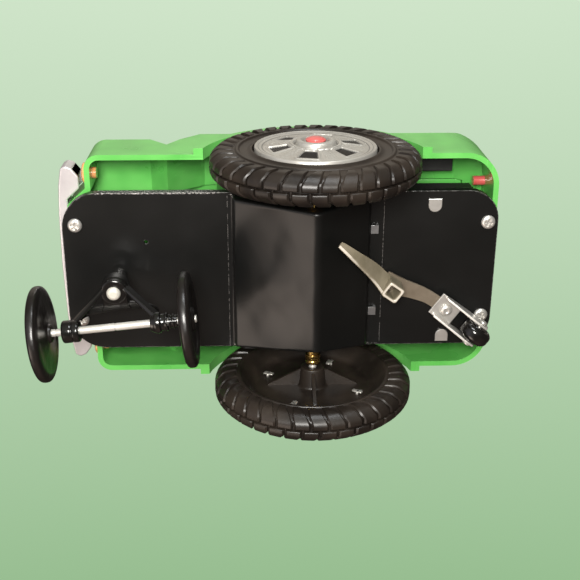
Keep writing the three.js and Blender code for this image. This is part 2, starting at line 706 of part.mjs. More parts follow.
function axleGear() {
  const phase = toothAt(AXLE_TEETH, LOW_IDLER_TURN);
  const wheel = gear(AXLE_TEETH, AXLE_MESH_Y, AXLE_MESH_Y + GEAR_WIDTH, phase);
  const hub = bar(3.2, [0, AXLE_MESH_Y - 1, 0], [0, AXLE_MESH_Y + 1, 0], 20);
  return cut(join(wheel, hub), bar(AXLE_RADIUS + GAP, [0, 0, 0], [0, 60, 0], 20));
}

// A large and a small gear moulded in one: the large one is driven at `drivenY` from the direction
// `drivenFrom`, and the small one drives at `driveY` towards `driveTo`.
function compoundGear(centre, drivenY, drivenFrom, driveY, driveTo) {
  const large = gear(IDLER_TEETH, drivenY, drivenY + GEAR_WIDTH, toothAt(IDLER_TEETH, drivenFrom));
  const small = gear(SMALL_TEETH, drivenY + 1, driveY + GEAR_WIDTH, gapAt(SMALL_TEETH, driveTo));
  const bore = bar(IDLER_SHAFT + RUN_GAP, [0, 0, 0], [0, 60, 0], 12);
  return cut(join(large, small), bore).translate(centre.x, 0, centre.z);
}

function idlerShaft({ x, z }) {
  return bar(IDLER_SHAFT, [x, MOTOR_END_Y + GAP + 0.2, z], [x, FRAME_Y + 0.6, z], 12);
}

function motorPinion() {
  const phase = gapAt(SMALL_TEETH, MOTOR_TURN + 180);
  const teeth = gear(SMALL_TEETH, MOTOR_MESH_Y - 0.6, MOTOR_MESH_Y + GEAR_WIDTH, phase);
  const back = MOTOR_END_Y - MOTOR_LENGTH - 3;
  const shaft = bar(1, [0, back, 0], [0, MOTOR_MESH_Y + GEAR_WIDTH + 0.6, 0], 12);
  return join(teeth, shaft).translate(MOTOR.x, 0, MOTOR.z);
}

function motor() {
  const { x, z } = MOTOR;
  const front = MOTOR_END_Y;
  const back = front - MOTOR_LENGTH;
  const can = bar(MOTOR_RADIUS, [x, back, z], [x, front, z], 32);
  const frontNose = bar(3, [x, front - 1, z], [x, front + 0.9, z]);
  const backNose = bar(3, [x, back - 1.5, z], [x, back + 1, z]);
  return cut(join(can, frontNose, backNose), bar(1 + RUN_GAP, [x, -60, z], [x, 60, z], 12));
}

// ---- drive axle and wheels ----------------------------------------------------------------------------
// Tread outline: flat-topped lugs, with one straight down.
function treadOutline() {
  const root = TYRE_RADIUS - LUG_DEPTH;
  const step = (2 * Math.PI) / LUG_COUNT;
  const corner = TYRE_RADIUS / Math.cos(0.3 * step);
  const outline = [];
  for (let i = 0; i < LUG_COUNT; i += 1) {
    const a = i * step - Math.PI / 2;
    for (const [r, f] of [
      [root, -0.36],
      [corner, -0.3],
      [corner, 0.3],
      [root, 0.36],
    ]) {
      outline.push([r * Math.cos(a + f * step), r * Math.sin(a + f * step)]);
    }
  }
  return outline;
}

function driveWheel(side) {
  const bore = AXLE_RADIUS + GAP;
  const carcass = TYRE_RADIUS - LUG_DEPTH - 2;
  const bossEnd = TYRE_INNER - 1.6;
  const capSeat = HUBCAP_RADIUS + 0.8;
  const profile = [
    [bore, bossEnd],
    [BOSS_RADIUS, bossEnd],
    [BOSS_RADIUS + 0.9, WEB_FACE],
    [DISH_RADIUS, WEB_FACE],
    [DISH_RADIUS + 5.5, TYRE_INNER],
    [carcass, TYRE_INNER],
    [carcass, TYRE_OUTER],
    [capSeat, TYRE_OUTER],
    [capSeat, WEB_OUTER],
    [bore, WEB_OUTER],
    [bore, bossEnd],
  ];
  const inside = bar(carcass - 1, [0, TYRE_INNER - 1, 0], [0, TYRE_OUTER + 1, 0], 28);
  const tread = cut(across(treadOutline(), TYRE_INNER, TYRE_OUTER), inside);
  const fin = hull(
    [-0.7, 0.7].flatMap((z) => [
      [0, TYRE_INNER - 0.8, z],
      [BOSS_RADIUS, TYRE_INNER - 0.8, z],
      [DISH_RADIUS - 6, WEB_FACE + 0.5, z],
      [0, WEB_FACE + 0.5, z],
    ]),
  );
  const fins = [0, 90, 180, 270].map((a) => fin.clone().rotateY(rad(a)));
  const wheel = join(turned(profile, 28), tread, ...fins);
  if (side < 0) wheel.rotateZ(Math.PI);
  const slots = HUBCAP_TABS.map((a) => tabBox(side, a, GAP, WEB_FACE - 1, WEB_OUTER + 1));
  return cut(wheel, bar(bore, [0, side * 30, 0], [0, side * 60, 0]), ...slots);
}

function tabBox(side, degrees, grow, y0, y1) {
  const half = 1.3 + grow;
  const thick = 0.5 + grow;
  const tabShape = block(TAB_CIRCLE - thick, TAB_CIRCLE + thick, ...slabY(side, y0, y1), -half, half);
  return tabShape.rotateY(rad(degrees));
}

// Thin domed cap with four tabs that pass through the wheel's web.
function hubcap(side) {
  const seat = WEB_OUTER + GAP;
  const outside = [
    [0, seat + 0.6],
    [HUBCAP_RADIUS, seat + 0.6],
    [HUBCAP_RADIUS, seat + 2.9],
    [HUBCAP_RADIUS - 2.2, seat + 2.9],
    [HUBCAP_RADIUS - 3.2, seat + 2.2],
    [CAP_RING + 1, seat + 4],
    [CAP_RING, seat + 5.6],
    [DOME_RADIUS + 0.7, seat + 5.6],
    [DOME_RADIUS + 0.7, seat + 4.4],
    [0, seat + 4.4],
  ];
  const tabs = HUBCAP_TABS.map((a) => tabBox(side, a, 0, WEB_FACE - 1.2, seat + 1));
  const bore = bar(AXLE_RADIUS + GAP, [0, side * 30, 0], [0, side * (seat + 3), 0]);
  return cut(join(turned(mirrored(outside, side), 32), ...tabs), bore);
}

function centreCap(side) {
  const foot = WEB_OUTER + 2 * GAP + 4.4;
  const dome = [
    [0, foot],
    [DOME_RADIUS, foot],
    [DOME_RADIUS, foot + 1.2],
    [DOME_RADIUS * 0.8, foot + 2.3],
    [DOME_RADIUS * 0.45, foot + 2.9],
    [0, foot + 3.1],
  ];
  return turned(mirrored(dome, side), 24);
}

function driveAxle() {
  const end = TYRE_OUTER + 0.6;
  return bar(AXLE_RADIUS, [0, -end, 0], [0, end, 0], 20);
}

// Flanged bush: its thin end sits in the frame's side plate, its collar outside the cover.
function bush(side) {
  const collar = COVER_HALF_WIDTH + GAP;
  const at = (y) => [0, side * y, 0];
  return cut(
    join(
      bar(BUSH_RADIUS, at(FRAME_Y - 2.4), at(collar + 1), 20),
      bar(BUSH_RADIUS + 0.6, at(collar), at(TYRE_INNER - 3.4), 20),
    ),
    bar(AXLE_RADIUS + RUN_GAP, at(20), at(60), 20),
  );
}

// ---- front truck --------------------------------------------------------------------------------------
const BOSS_TOP = PLATE_Z - 3;
const BOSS_LOW = -14;
const AXLE_BOSS = { inner: 13.7, outer: 20.4, radius: 4.4 };

// Moulded truck in its own frame: swivel boss on the origin, axle bosses trailing behind it.
function truckFrame() {
  const axleX = -TRUCK_TRAIL;
  const axleZ = SMALL_AXLE_Z;
  const waist = BOSS_LOW + 8;
  const boss = bar(TRUCK_BOSS_RADIUS, [0, 0, BOSS_LOW], [0, 0, waist], 24);
  const neck = bar(TRUCK_BOSS_RADIUS, [0, 0, waist - 0.5], [0, 0, BOSS_TOP], 24, TRUCK_NECK_RADIUS);
  const collar = bar(TRUCK_BOSS_RADIUS + 0.9, [0, 0, BOSS_LOW + 8], [0, 0, BOSS_LOW], 24);
  const legs = [1, -1].flatMap((s) => {
    const near = s * (AXLE_BOSS.inner + 0.5);
    const far = s * (AXLE_BOSS.outer - 0.6);
    const axleBoss = bar(
      AXLE_BOSS.radius,
      [axleX, s * AXLE_BOSS.inner, axleZ],
      [axleX, s * AXLE_BOSS.outer, axleZ],
      20,
    );
    const arm = hull([
      [2.2, s * 1, -2],
      [-2.2, s * 1, -2],
      [2.2, s * 4.2, BOSS_LOW],
      [-2.2, s * 4.2, BOSS_LOW],
      [axleX + 2.4, near, axleZ - 1],
      [axleX + 2.4, far, axleZ - 1],
      [axleX - 0.6, far, axleZ + 3.4],
      [axleX - 0.6, near, axleZ + 3.4],
    ]);
    return [axleBoss, arm];
  });
  const beam = hull(
    [1, -1].flatMap((s) => [
      [-4.2, s * 3, BOSS_LOW],
      [-1, s * 5, BOSS_LOW + 5],
      [axleX + 3, s * (AXLE_BOSS.inner + 1.8), axleZ + 1.2],
      [axleX + 1, s * (AXLE_BOSS.inner + 1.8), axleZ + 4],
    ]),
  );
  const bore = AXLE_RADIUS + RUN_GAP;
  return cut(
    join(boss, neck, collar, ...legs, beam),
    bar(bore, [0, 0, -60], [0, 0, 60]),
    bar(bore, [axleX, -60, axleZ], [axleX, 60, axleZ]),
  );
}

function pivotRivet() {
  const head = BOSS_LOW - GAP;
  return join(
    bar(AXLE_RADIUS, [0, 0, head - 0.5], [0, 0, PLATE_TOP + 1.5]),
    bar(AXLE_RADIUS + 1.25, [0, 0, head], [0, 0, head - 1.7], 20, AXLE_RADIUS),
    bar(AXLE_RADIUS + 2.1, [0, 0, PLATE_TOP + GAP], [0, 0, PLATE_TOP + 1.5], 20),
  );
}

function smallAxle() {
  const end = TRUCK_TRACK / 2 + SMALL_WHEEL_WIDTH / 2 + 0.8;
  return bar(AXLE_RADIUS, [-TRUCK_TRAIL, -end, SMALL_AXLE_Z], [-TRUCK_TRAIL, end, SMALL_AXLE_Z], 20);
}

function smallWheel(side) {
  const r = SMALL_WHEEL_RADIUS;
  const half = SMALL_WHEEL_WIDTH / 2;
  const bore = AXLE_RADIUS + GAP;
  const web = 1.4;
  const profile = [
    [bore, -half - 1.6],
    [bore + 2.2, -half - 1.6],
    [bore + 2.6, -web],
    [r - 6, -web],
    [r - 3, -half],
    [r, -0.8],
    [r, 0.8],
    [r - 3, half],
    [r - 6, web],
    [bore + 2.6, web],
    [bore + 2.2, half + 0.3],
    [bore, half + 0.3],
    [bore, -half - 1.6],
  ];
  const wheel = turned(mirrored(profile, side), 28);
  return wheel.translate(-TRUCK_TRAIL, (side * TRUCK_TRACK) / 2, SMALL_AXLE_Z);
}

// ---- steering lever and tail roller -------------------------------------------------------------------
const LEVER_TAIL = { back: -4, neck: 8, half: 2.8 };
const SOCKET = { back: 21, front: 29.6, right: -8.4, left: 0.4, wall: 1.3, low: -5.2 };
const BLADE = { half: 0.7, high: 2.2 };

// Pressed lever in its own frame, rivet on the origin and finger tip along +X: a flat tail, a square
// socket standing below it, and an upright finger blade whose upper edge drops so that it passes the ridge.
function lever() {
  const { back, front, right, left, wall, low } = SOCKET;
  const { neck, half } = LEVER_TAIL;
  const tailOutline = [
    [LEVER_TAIL.back, -half],
    [neck, -half],
    [back + 1, right],
    [front, right],
    [front, left],
    [back + 1, left],
    [neck, half],
    [LEVER_TAIL.back, half],
  ];
  const tail = raised(tailOutline, LEVER_TAIL_Z, LEVER_TAIL_Z + LEVER_SHEET);
  const socket = cut(
    block(back, front, right, left, low, LEVER_TAIL_Z + LEVER_SHEET / 2),
    block(back + wall, front - wall, right + wall, left - wall, low - 1, LEVER_TAIL_Z),
  );
  const root = front - 2;
  const bladeOutline = [
    [root, low],
    [root, BLADE.high],
    [front + 2, BLADE.high],
    [front + 3, BLADE.high - 1.8],
    [38.5, COVER_RIDGE_Z + 5.8],
    [46, COVER_RIDGE_Z + 2.6],
    [LEVER_LENGTH, LEVER_FOOT_Z + 1.1],
    [LEVER_LENGTH, LEVER_FOOT_Z],
    [40, LEVER_FOOT_Z + 1],
  ];
  // The blade leaves the socket's outer corner and ends on the lever's axis.
  const corner = right + BLADE.half;
  const sweep = Math.atan2(-corner, LEVER_LENGTH - root);
  const blade = across(bladeOutline, -BLADE.half, BLADE.half);
  blade.translate(-root, 0, 0).rotateZ(sweep).translate(root, corner, 0);
  return cut(join(tail, socket, blade), bar(AXLE_RADIUS + GAP, [0, 0, -20], [0, 0, 20]));
}

const CLEVIS = { inner: ROLLER_WIDTH / 2 + 0.9, sheet: 1, front: 5.2, back: -5.4 };
const CLEVIS_TOP = LEVER_TAIL_Z - GAP;
const CLEVIS_LOW = CLEVIS_TOP - CLEVIS.sheet;

// Folded plate under the lever's tail, its two arms carrying the roller's pin.
function clevis() {
  const { inner, sheet, front, back } = CLEVIS;
  const roof = block(back, front, -inner - sheet, inner + sheet, CLEVIS_LOW, CLEVIS_TOP);
  const armOutline = [
    [front - 2, CLEVIS_TOP],
    [front - 2, CLEVIS_LOW - 2],
    [-ROLLER_REACH + 2, ROLLER_Z - 3],
    [-ROLLER_REACH - 2, ROLLER_Z - 3],
    [-ROLLER_REACH - 3, ROLLER_Z],
    [-ROLLER_REACH - 2.4, ROLLER_Z + 2.6],
    [back - 3, CLEVIS_TOP],
  ];
  const arms = [1, -1].map((s) => across(armOutline, ...slabY(s, inner, inner + sheet)));
  return cut(
    join(roof, ...arms),
    bar(AXLE_RADIUS + GAP, [0, 0, -20], [0, 0, 20]),
    bar(PIN_RADIUS + GAP, [-ROLLER_REACH, -20, ROLLER_Z], [-ROLLER_REACH, 20, ROLLER_Z], 12),
  );
}

function leverRivet() {
  const low = CLEVIS_LOW - GAP;
  return join(
    bar(AXLE_RADIUS, [0, 0, low - 0.5], [0, 0, PLATE_TOP + 1.4]),
    bar(AXLE_RADIUS + 1.1, [0, 0, low], [0, 0, low - 1.3], 20, AXLE_RADIUS),
    bar(AXLE_RADIUS + 1.9, [0, 0, PLATE_TOP + GAP], [0, 0, PLATE_TOP + 1.4], 20),
  );
}

function rollerPin() {
  const end = CLEVIS.inner + CLEVIS.sheet + GAP;
  const at = (y) => [-ROLLER_REACH, y, ROLLER_Z];
  const heads = [1, -1].map((s) => bar(PIN_RADIUS + 0.8, at(s * end), at(s * (end + 1))));
  return join(bar(PIN_RADIUS, at(-end - 0.6), at(end + 0.6), 12), ...heads);
}

function roller() {
  const half = ROLLER_WIDTH / 2;
  const bore = PIN_RADIUS + RUN_GAP;
  const profile = [
    [bore, -half],
    [ROLLER_RADIUS - 1.4, -half],
    [ROLLER_RADIUS, -half + 1.2],
    [ROLLER_RADIUS, half - 1.2],
    [ROLLER_RADIUS - 1.4, half],
    [bore, half],
    [bore, -half],
  ];
  return turned(profile, 28).translate(-ROLLER_REACH, 0, ROLLER_Z);
}

// ---- batteries and switch -----------------------------------------------------------------------------
// Open tray on two legs, each leg with a well for the tab that holds it to the base plate.
function batteryHolder() {
  const { rear, front, half, high } = TRAY;
  const outer = block(rear, front, -half, half, TRAY_FLOOR, high);
  const w = TRAY_WALL;
  const inner = block(rear + w, front - w, w - half, half - w, TRAY_FLOOR + w, high + 1);
  const legs = HOLDER_TABS.map(([x, y]) =>
    block(x - 3, x + 3, y - 3, y + 3, PLATE_TOP + GAP, TRAY_FLOOR + w / 2),
  );
  const wells = HOLDER_TABS.map((place) => tabSlot(place, TRAY_FLOOR - 2));
  return cut(join(cut(outer, inner), ...legs), ...wells);
}

const holderTab = (place) => tab(place, TRAY_FLOOR - 2.6, HOLDER_FOLD_Z);

const cellX = (i) => (TRAY.rear + TRAY.front) / 2 + (i ? 1 : -1) * (CELL_RADIUS + CELL_PLAY);

// The two cells lie across the tray, head to tail.
function cell(i) {
  const z = TRAY_FLOOR + TRAY_WALL + GAP + CELL_RADIUS;
  const flip = i ? -1 : 1;
  const half = CELL_LENGTH / 2;
  const at = (y) => [cellX(i), flip * y, z];
  return join(bar(CELL_RADIUS, at(-half), at(half - 1.2), 24), bar(2.6, at(half - 2), at(half)));
}

function contactStrip(side) {
  const y = TRAY.half - TRAY_WALL - GAP;
  const low = TRAY_FLOOR + TRAY_WALL + GAP;
  return block(cellX(0) - 4, cellX(1) + 4, ...slabY(side, y - 0.6, y), low, TRAY.high + 1);
}

function switchSlider() {
  const { x, y, length, width } = SWITCH;
  const l = length / 2;
  const w = width / 2;
  const foot = DECK_TOP - 4.6;
  const knob = block(x - l, x + l, y - w, y + w, foot, DECK_TOP + 2.6);
  return join(knob, block(x - l - 1, x + l + 1, y - w - 1, y + w + 1, foot, foot + 1));
}

function switchBody() {
  const { x, y, length, travel } = SWITCH;
  const past = length / 2 + 3;
  return block(x - past, x + travel + past, y - 4, y + 4, DECK_TOP - 10, DECK_TOP - 5);
}

// ---- assembly -----------------------------------------------------------------------------------------
node('body_shell', bodyShell(), green);
for (const [name, panel] of Object.entries(windowPanels(0))) node(name, panel, smoke);
node('battery_door', batteryDoor(), green);
node('grille', grille(), chromed);
node('bumper', bumper(), chromed);
for (const [name, s] of SIDES) {
  node(`headlamp_${name}`, lamp(FENDER_FRONT, 1, s, LAMP, 4), amber);
  node(`tail_lamp_${name}`, lamp(BODY_REAR, -1, s, TAIL_LAMP, 7), redPlastic);
}

node('base_plate', basePlate(), enamel);
node('gearbox_cover', gearboxCover(), enamel);
for (const [end, x] of Object.entries(SCREW_XS)) {
  for (const [name, s] of SIDES) node(`screw_${end}_${name}`, screw(x, s * SCREW_Y), nickel);
}

const lowIdler = compoundGear(LOW_IDLER, IDLER_MESH_Y, HIGH_IDLER_TURN, AXLE_MESH_Y, LOW_IDLER_TURN + 180);
const highIdler = compoundGear(HIGH_IDLER, MOTOR_MESH_Y, MOTOR_TURN, IDLER_MESH_Y, HIGH_IDLER_TURN + 180);
node('gearbox_frame', gearboxFrame(), zinc);
node('idler_shaft_low', idlerShaft(LOW_IDLER), steel);
node('idler_shaft_high', idlerShaft(HIGH_IDLER), steel);
node('idler_gear_low', lowIdler, nylon);
node('idler_gear_high', highIdler, nylon);
node('motor', motor(), zinc);
node('motor_pinion', motorPinion(), brass);
node('axle_gear', axleGear(), nylon);
node('drive_axle', driveAxle(), steel);
for (const [name, s] of SIDES) {
  node(`bush_${name}`, bush(s), brass);
  node(`drive_wheel_${name}`, driveWheel(s), blackPlastic);
  node(`hubcap_${name}`, hubcap(s), chromed);
  node(`centre_cap_${name}`, centreCap(s), redPlastic);
}

node('battery_holder', batteryHolder(), blackPlastic);
HOLDER_TABS.forEach((place, i) => node(`holder_tab_${i ? 'right' : 'left'}`, holderTab(place), nickel));
node('battery_front', cell(1), cellWrap);
node('battery_rear', cell(0), cellWrap);
node('contact_left', contactStrip(1), brass);
node('contact_right', contactStrip(-1), brass);
node('switch_slider', switchSlider(), redPlastic);
node('switch_body', switchBody(), blackPlastic);

const truck = new THREE.Group();
truck.position.set(PIVOT_X, 0, 0);
truck.rotation.z = rad(TRUCK_ANGLE);
vehicle.add(truck);
node('pivot_rivet', pivotRivet(), nickel, truck);
node('truck_frame', truckFrame(), glossBlack, truck);
node('truck_axle', smallAxle(), steel, truck);
for (const [name, s] of SIDES) node(`truck_wheel_${name}`, smallWheel(s), glossBlack, truck);

const tail = new THREE.Group();
tail.position.set(LEVER_X, LEVER_Y, 0);
tail.rotation.z = rad(LEVER_ANGLE);
vehicle.add(tail);
node('lever_rivet', leverRivet(), nickel, tail);
node('steering_lever', lever(), steel, tail);
node('roller_clevis', clevis(), nickel, tail);
node('roller_pin', rollerPin(), nickel, tail);
node('tail_roller', roller(), glossBlack, tail);

// The origin goes on the ground, under the middle of the vehicle's box.
vehicle.updateMatrixWorld(true);
const reach = new THREE.Box3().setFromObject(vehicle, true);
const middle = reach.getCenter(new THREE.Vector3());
vehicle.position.set(-middle.x, -middle.y, -reach.min.z);

const part = new THREE.Group();
part.add(vehicle);
export default part;
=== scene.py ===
import json
import math

import bmesh
import bpy
import numpy as np
from mathutils import Matrix, Vector

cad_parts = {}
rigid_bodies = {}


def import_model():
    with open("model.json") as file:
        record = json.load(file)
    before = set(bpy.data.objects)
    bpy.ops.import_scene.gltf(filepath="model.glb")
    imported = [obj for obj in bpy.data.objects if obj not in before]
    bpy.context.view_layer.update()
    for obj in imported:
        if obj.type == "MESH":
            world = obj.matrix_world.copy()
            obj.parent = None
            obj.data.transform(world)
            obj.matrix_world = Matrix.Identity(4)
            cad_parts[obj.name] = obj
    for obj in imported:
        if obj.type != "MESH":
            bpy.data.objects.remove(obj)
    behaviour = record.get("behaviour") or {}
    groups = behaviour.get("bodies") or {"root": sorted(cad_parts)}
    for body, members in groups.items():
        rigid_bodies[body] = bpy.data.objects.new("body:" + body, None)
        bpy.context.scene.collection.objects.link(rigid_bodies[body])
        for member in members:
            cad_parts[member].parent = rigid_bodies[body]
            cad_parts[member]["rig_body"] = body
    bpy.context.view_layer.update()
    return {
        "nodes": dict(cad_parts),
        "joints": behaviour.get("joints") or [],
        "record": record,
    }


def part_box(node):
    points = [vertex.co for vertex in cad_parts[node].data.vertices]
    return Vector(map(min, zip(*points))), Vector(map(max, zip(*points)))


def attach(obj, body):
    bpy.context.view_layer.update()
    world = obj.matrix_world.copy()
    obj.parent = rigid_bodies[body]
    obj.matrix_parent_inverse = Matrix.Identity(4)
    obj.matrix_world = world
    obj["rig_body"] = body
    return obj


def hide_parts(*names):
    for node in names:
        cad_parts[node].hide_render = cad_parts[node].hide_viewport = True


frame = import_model()
mm = 0.001
axleLow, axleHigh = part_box("drive_axle")
axle = (np.array(axleLow) + np.array(axleHigh)) / 2  # every local size below is in mm from this point
jointAxes = {joint["name"]: joint.get("axis") for joint in frame["joints"]}
print("frame loaded,", len(frame["nodes"]), "nodes")


# camera, room and floor
cameraView = {
    "place": (24.36, 153.15, -376.14),  # under the vehicle, looking up at its belly
    "tilt": 22.854,  # degrees
    "yaw": 2.069,
    "roll": -0.625,
    "lens": 62.415,
    "sensor": 36.0,
}


def makeCamera():
    tilt, yaw, roll = (math.radians(cameraView[key]) for key in ("tilt", "yaw", "roll"))
    ahead = Vector((0, -math.sin(tilt), math.cos(tilt)))
    up = Vector((0, math.cos(tilt), math.sin(tilt)))
    right = Vector((-1, 0, 0))
    ahead, right = (
        ahead * math.cos(yaw) + right * math.sin(yaw),
        right * math.cos(yaw) - ahead * math.sin(yaw),
    )
    right, up = (
        right * math.cos(roll) + up * math.sin(roll),
        up * math.cos(roll) - right * math.sin(roll),
    )
    data = bpy.data.cameras.new("belly_view")
    data.lens = cameraView["lens"]
    data.sensor_width = cameraView["sensor"]
    data.clip_start = 0.01
    data.dof.use_dof = False
    camera = bpy.data.objects.new("belly_view", data)
    turn = Matrix((right, up, -ahead)).transposed().to_4x4()
    camera.matrix_world = Matrix.Translation(axle + np.array(cameraView["place"]) * mm) @ turn
    bpy.context.scene.collection.objects.link(camera)
    bpy.context.scene.camera = camera
    return ahead, up


def put(tree, socket, value):
    # a socket is linked, anything else becomes the socket's own value
    if isinstance(value, bpy.types.NodeSocket):
        tree.links.new(value, socket)
    else:
        socket.default_value = value


def calc(tree, operation, *values, clamp=False):
    node = tree.nodes.new("ShaderNodeMath")
    node.operation = operation
    node.use_clamp = clamp
    for socket, value in zip(node.inputs, values):
        put(tree, socket, value)
    return node.outputs[0]


def dotWith(tree, vector, direction):
    node = tree.nodes.new("ShaderNodeVectorMath")
    node.operation = "DOT_PRODUCT"
    put(tree, node.inputs[0], vector)
    put(tree, node.inputs[1], tuple(direction))
    return node.outputs["Value"]


def mixColour(tree, factor, a, b, blend="MIX"):
    node = tree.nodes.new("ShaderNodeMix")
    node.data_type = "RGBA"
    node.blend_type = blend
    put(tree, node.inputs["Factor"], factor)
    put(tree, node.inputs[6], a)
    put(tree, node.inputs[7], b)
    return node.outputs[2]


room = {
    "dim": (0.050, 0.040, 0.033, 1),  # brown gloom that the black enamel mirrors
    # direction, colour, strength and sharpness of each soft glow that glossy faces pick up
    "glows": (
        ((0.62, -0.40, -0.67), (1.00, 0.84, 0.72), 4.60, 30.0),
        ((0.05, 0.42, 0.90), (1.00, 0.90, 0.76), 0.60, 8.0),
        ((0.00, 0.90, -0.42), (0.95, 1.00, 0.86), 0.35, 4.0),
        ((-0.10, -0.85, -0.50), (1.00, 0.62, 0.52), 0.20, 6.0),
        ((0.75, 0.20, -0.50), (0.90, 0.90, 1.00), 0.50, 10.0),
    ),
    "skyHigh": (0.640, 0.790, 0.600, 1),
    "skyLow": (0.300, 0.500, 0.270, 1),
    "skySpan": 0.30,  # sine of the angle from the view's middle to where the gradient ends
}


def makeRoom(ahead, up):
    world = bpy.data.worlds.new("room")
    world.use_nodes = True
    tree = world.node_tree
    tree.nodes.clear()
    direction = tree.nodes.new("ShaderNodeTexCoord").outputs["Generated"]
    light = room["dim"]
    for towards, colour, strength, sharpness in room["glows"]:
        facing = calc(tree, "MAXIMUM", dotWith(tree, direction, Vector(towards).normalized()), 0.0)
        glow = calc(tree, "MULTIPLY", calc(tree, "POWER", facing, sharpness), strength)
        light = mixColour(tree, glow, light, (*colour, 1), "ADD")
        light.node.clamp_factor = False
    lit = tree.nodes.new("ShaderNodeBackground")
    put(tree, lit.inputs["Color"], light)
    # the backdrop fades from a pale green overhead to a deeper green low in the view
    height = calc(tree, "DIVIDE", dotWith(tree, direction, up), 2 * room["skySpan"])
    seen = tree.nodes.new("ShaderNodeBackground")
    share = calc(tree, "ADD", height, 0.5, clamp=True)
    put(tree, seen.inputs["Color"], mixColour(tree, share, room["skyLow"], room["skyHigh"]))
    mix = tree.nodes.new("ShaderNodeMixShader")
    put(tree, mix.inputs[0], tree.nodes.new("ShaderNodeLightPath").outputs["Is Camera Ray"])
    put(tree, mix.inputs[1], lit.outputs[0])
    put(tree, mix.inputs[2], seen.outputs[0])
    put(tree, tree.nodes.new("ShaderNodeOutputWorld").inputs[0], mix.outputs[0])
    bpy.context.scene.world = world


lamps = {
    # place, aim, width and height, power, colour
    "belly_key": ((0.06, 0.30, -0.58), (0, 0, 0.03), (0.20, 0.20), 6.5, (1.0, 0.97, 0.92)),
    "belly_side": ((-0.10, 0.62, -0.15), (0, 0, 0.03), (0.30, 0.16), 1.6, (0.95, 0.98, 1.0)),
    "high_soft": ((0.30, -0.45, 0.80), (0, 0, 0.05), (0.7, 0.7), 5.5, (1.0, 0.99, 0.97)),
    "high_side": ((-0.50, 0.50, 0.55), (0, 0, 0.05), (0.6, 0.4), 3.0, (0.96, 1.0, 0.97)),
}


def makeLamps():
    for name, (place, aim, size, power, colour) in lamps.items():
        data = bpy.data.lights.new(name, "AREA")
        data.shape = "RECTANGLE"
        data.size, data.size_y = size
        data.energy = power
        data.color = colour
        lamp = bpy.data.objects.new(name, data)
        lamp.location = place
        lamp.rotation_euler = (Vector(aim) - Vector(place)).to_track_quat("-Z", "Y").to_euler()
        lamp.visible_glossy = not name.startswith("high")
        bpy.context.scene.collection.objects.link(lamp)


stageFloor = {"half": 1.6, "tone": (0.60, 0.68, 0.58, 1), "roughness": 0.7}


def makeFloor():
    # a pale floor that is seen from above only, so that the belly can be looked at from below
    half = stageFloor["half"]
    corners = [(-half, -half, 0), (half, -half, 0), (half, half, 0), (-half, half, 0)]
    mesh = bpy.data.meshes.new("floor")
    mesh.from_pydata(corners, [], [(0, 1, 2, 3)])
    floor = bpy.data.objects.new("floor", mesh)
    bpy.context.scene.collection.objects.link(floor)
    material = bpy.data.materials.new("pale_floor")
    material.use_nodes = True
    tree = material.node_tree
    tree.nodes.clear()
    paint = tree.nodes.new("ShaderNodeBsdfPrincipled")
    paint.inputs["Base Color"].default_value = stageFloor["tone"]
    paint.inputs["Roughness"].default_value = stageFloor["roughness"]
    clear = tree.nodes.new("ShaderNodeBsdfTransparent")
    mix = tree.nodes.new("ShaderNodeMixShader")
    put(tree, mix.inputs[0], tree.nodes.new("ShaderNodeNewGeometry").outputs["Backfacing"])
    put(tree, mix.inputs[1], paint.outputs[0])
    put(tree, mix.inputs[2], clear.outputs[0])
    put(tree, tree.nodes.new("ShaderNodeOutputMaterial").inputs[0], mix.outputs[0])
    mesh.materials.append(material)
    for way in ("shadow", "glossy", "diffuse", "transmission"):
        setattr(floor, "visible_" + way, False)


bpy.context.scene.view_settings.view_transform = "Standard"
viewAhead, viewUp = makeCamera()
makeRoom(viewAhead, viewUp)
makeLamps()
makeFloor()
print("camera, room, lamps and floor made")


# effects that several finishes share
def effect(name, inputs, outputs, build):
    # a node group with float inputs (name, default) and named float outputs
    tree = bpy.data.node_groups.new(name, "ShaderNodeTree")
    for title, value in inputs:
        socket = tree.interface.new_socket(name=title, in_out="INPUT", socket_type="NodeSocketFloat")
        socket.default_value = value
    for title in outputs:
        tree.interface.new_socket(name=title, in_out="OUTPUT", socket_type="NodeSocketFloat")
    build(tree, tree.nodes.new("NodeGroupInput").outputs, tree.nodes.new("NodeGroupOutput").inputs)
    return tree


def noiseIn(tree, scale, detail=3.0, stretch=None, roughness=0.55):
    place = tree.nodes.new("ShaderNodeTexCoord").outputs["Object"]
    if stretch:
        mapping = tree.nodes.new("ShaderNodeMapping")
        put(tree, mapping.inputs["Vector"], place)
        mapping.inputs["Scale"].default_value = stretch
        place = mapping.outputs[0]
    noise = tree.nodes.new("ShaderNodeTexNoise")
    put(tree, noise.inputs["Vector"], place)
    put(tree, noise.inputs["Scale"], scale)
    noise.inputs["Detail"].default_value = detail
    noise.inputs["Roughness"].default_value = roughness
    return noise.outputs[0]


def spread(tree, value, low, high):
    # 0 below low, 1 above high, smooth between
    node = tree.nodes.new("ShaderNodeMapRange")
    node.interpolation_type = "SMOOTHSTEP"
    put(tree, node.inputs["Value"], value)
    put(tree, node.inputs["From Min"], low)
    put(tree, node.inputs["From Max"], high)
    return node.outputs[0]


def buildGrain(tree, given, out):
    # moulded surface: broad tone drift and a fine orange peel
    put(tree, out["Tone"], noiseIn(tree, given["Broad"], 2.0))
    put(tree, out["Peel"], noiseIn(tree, given["Fine"], 4.0))


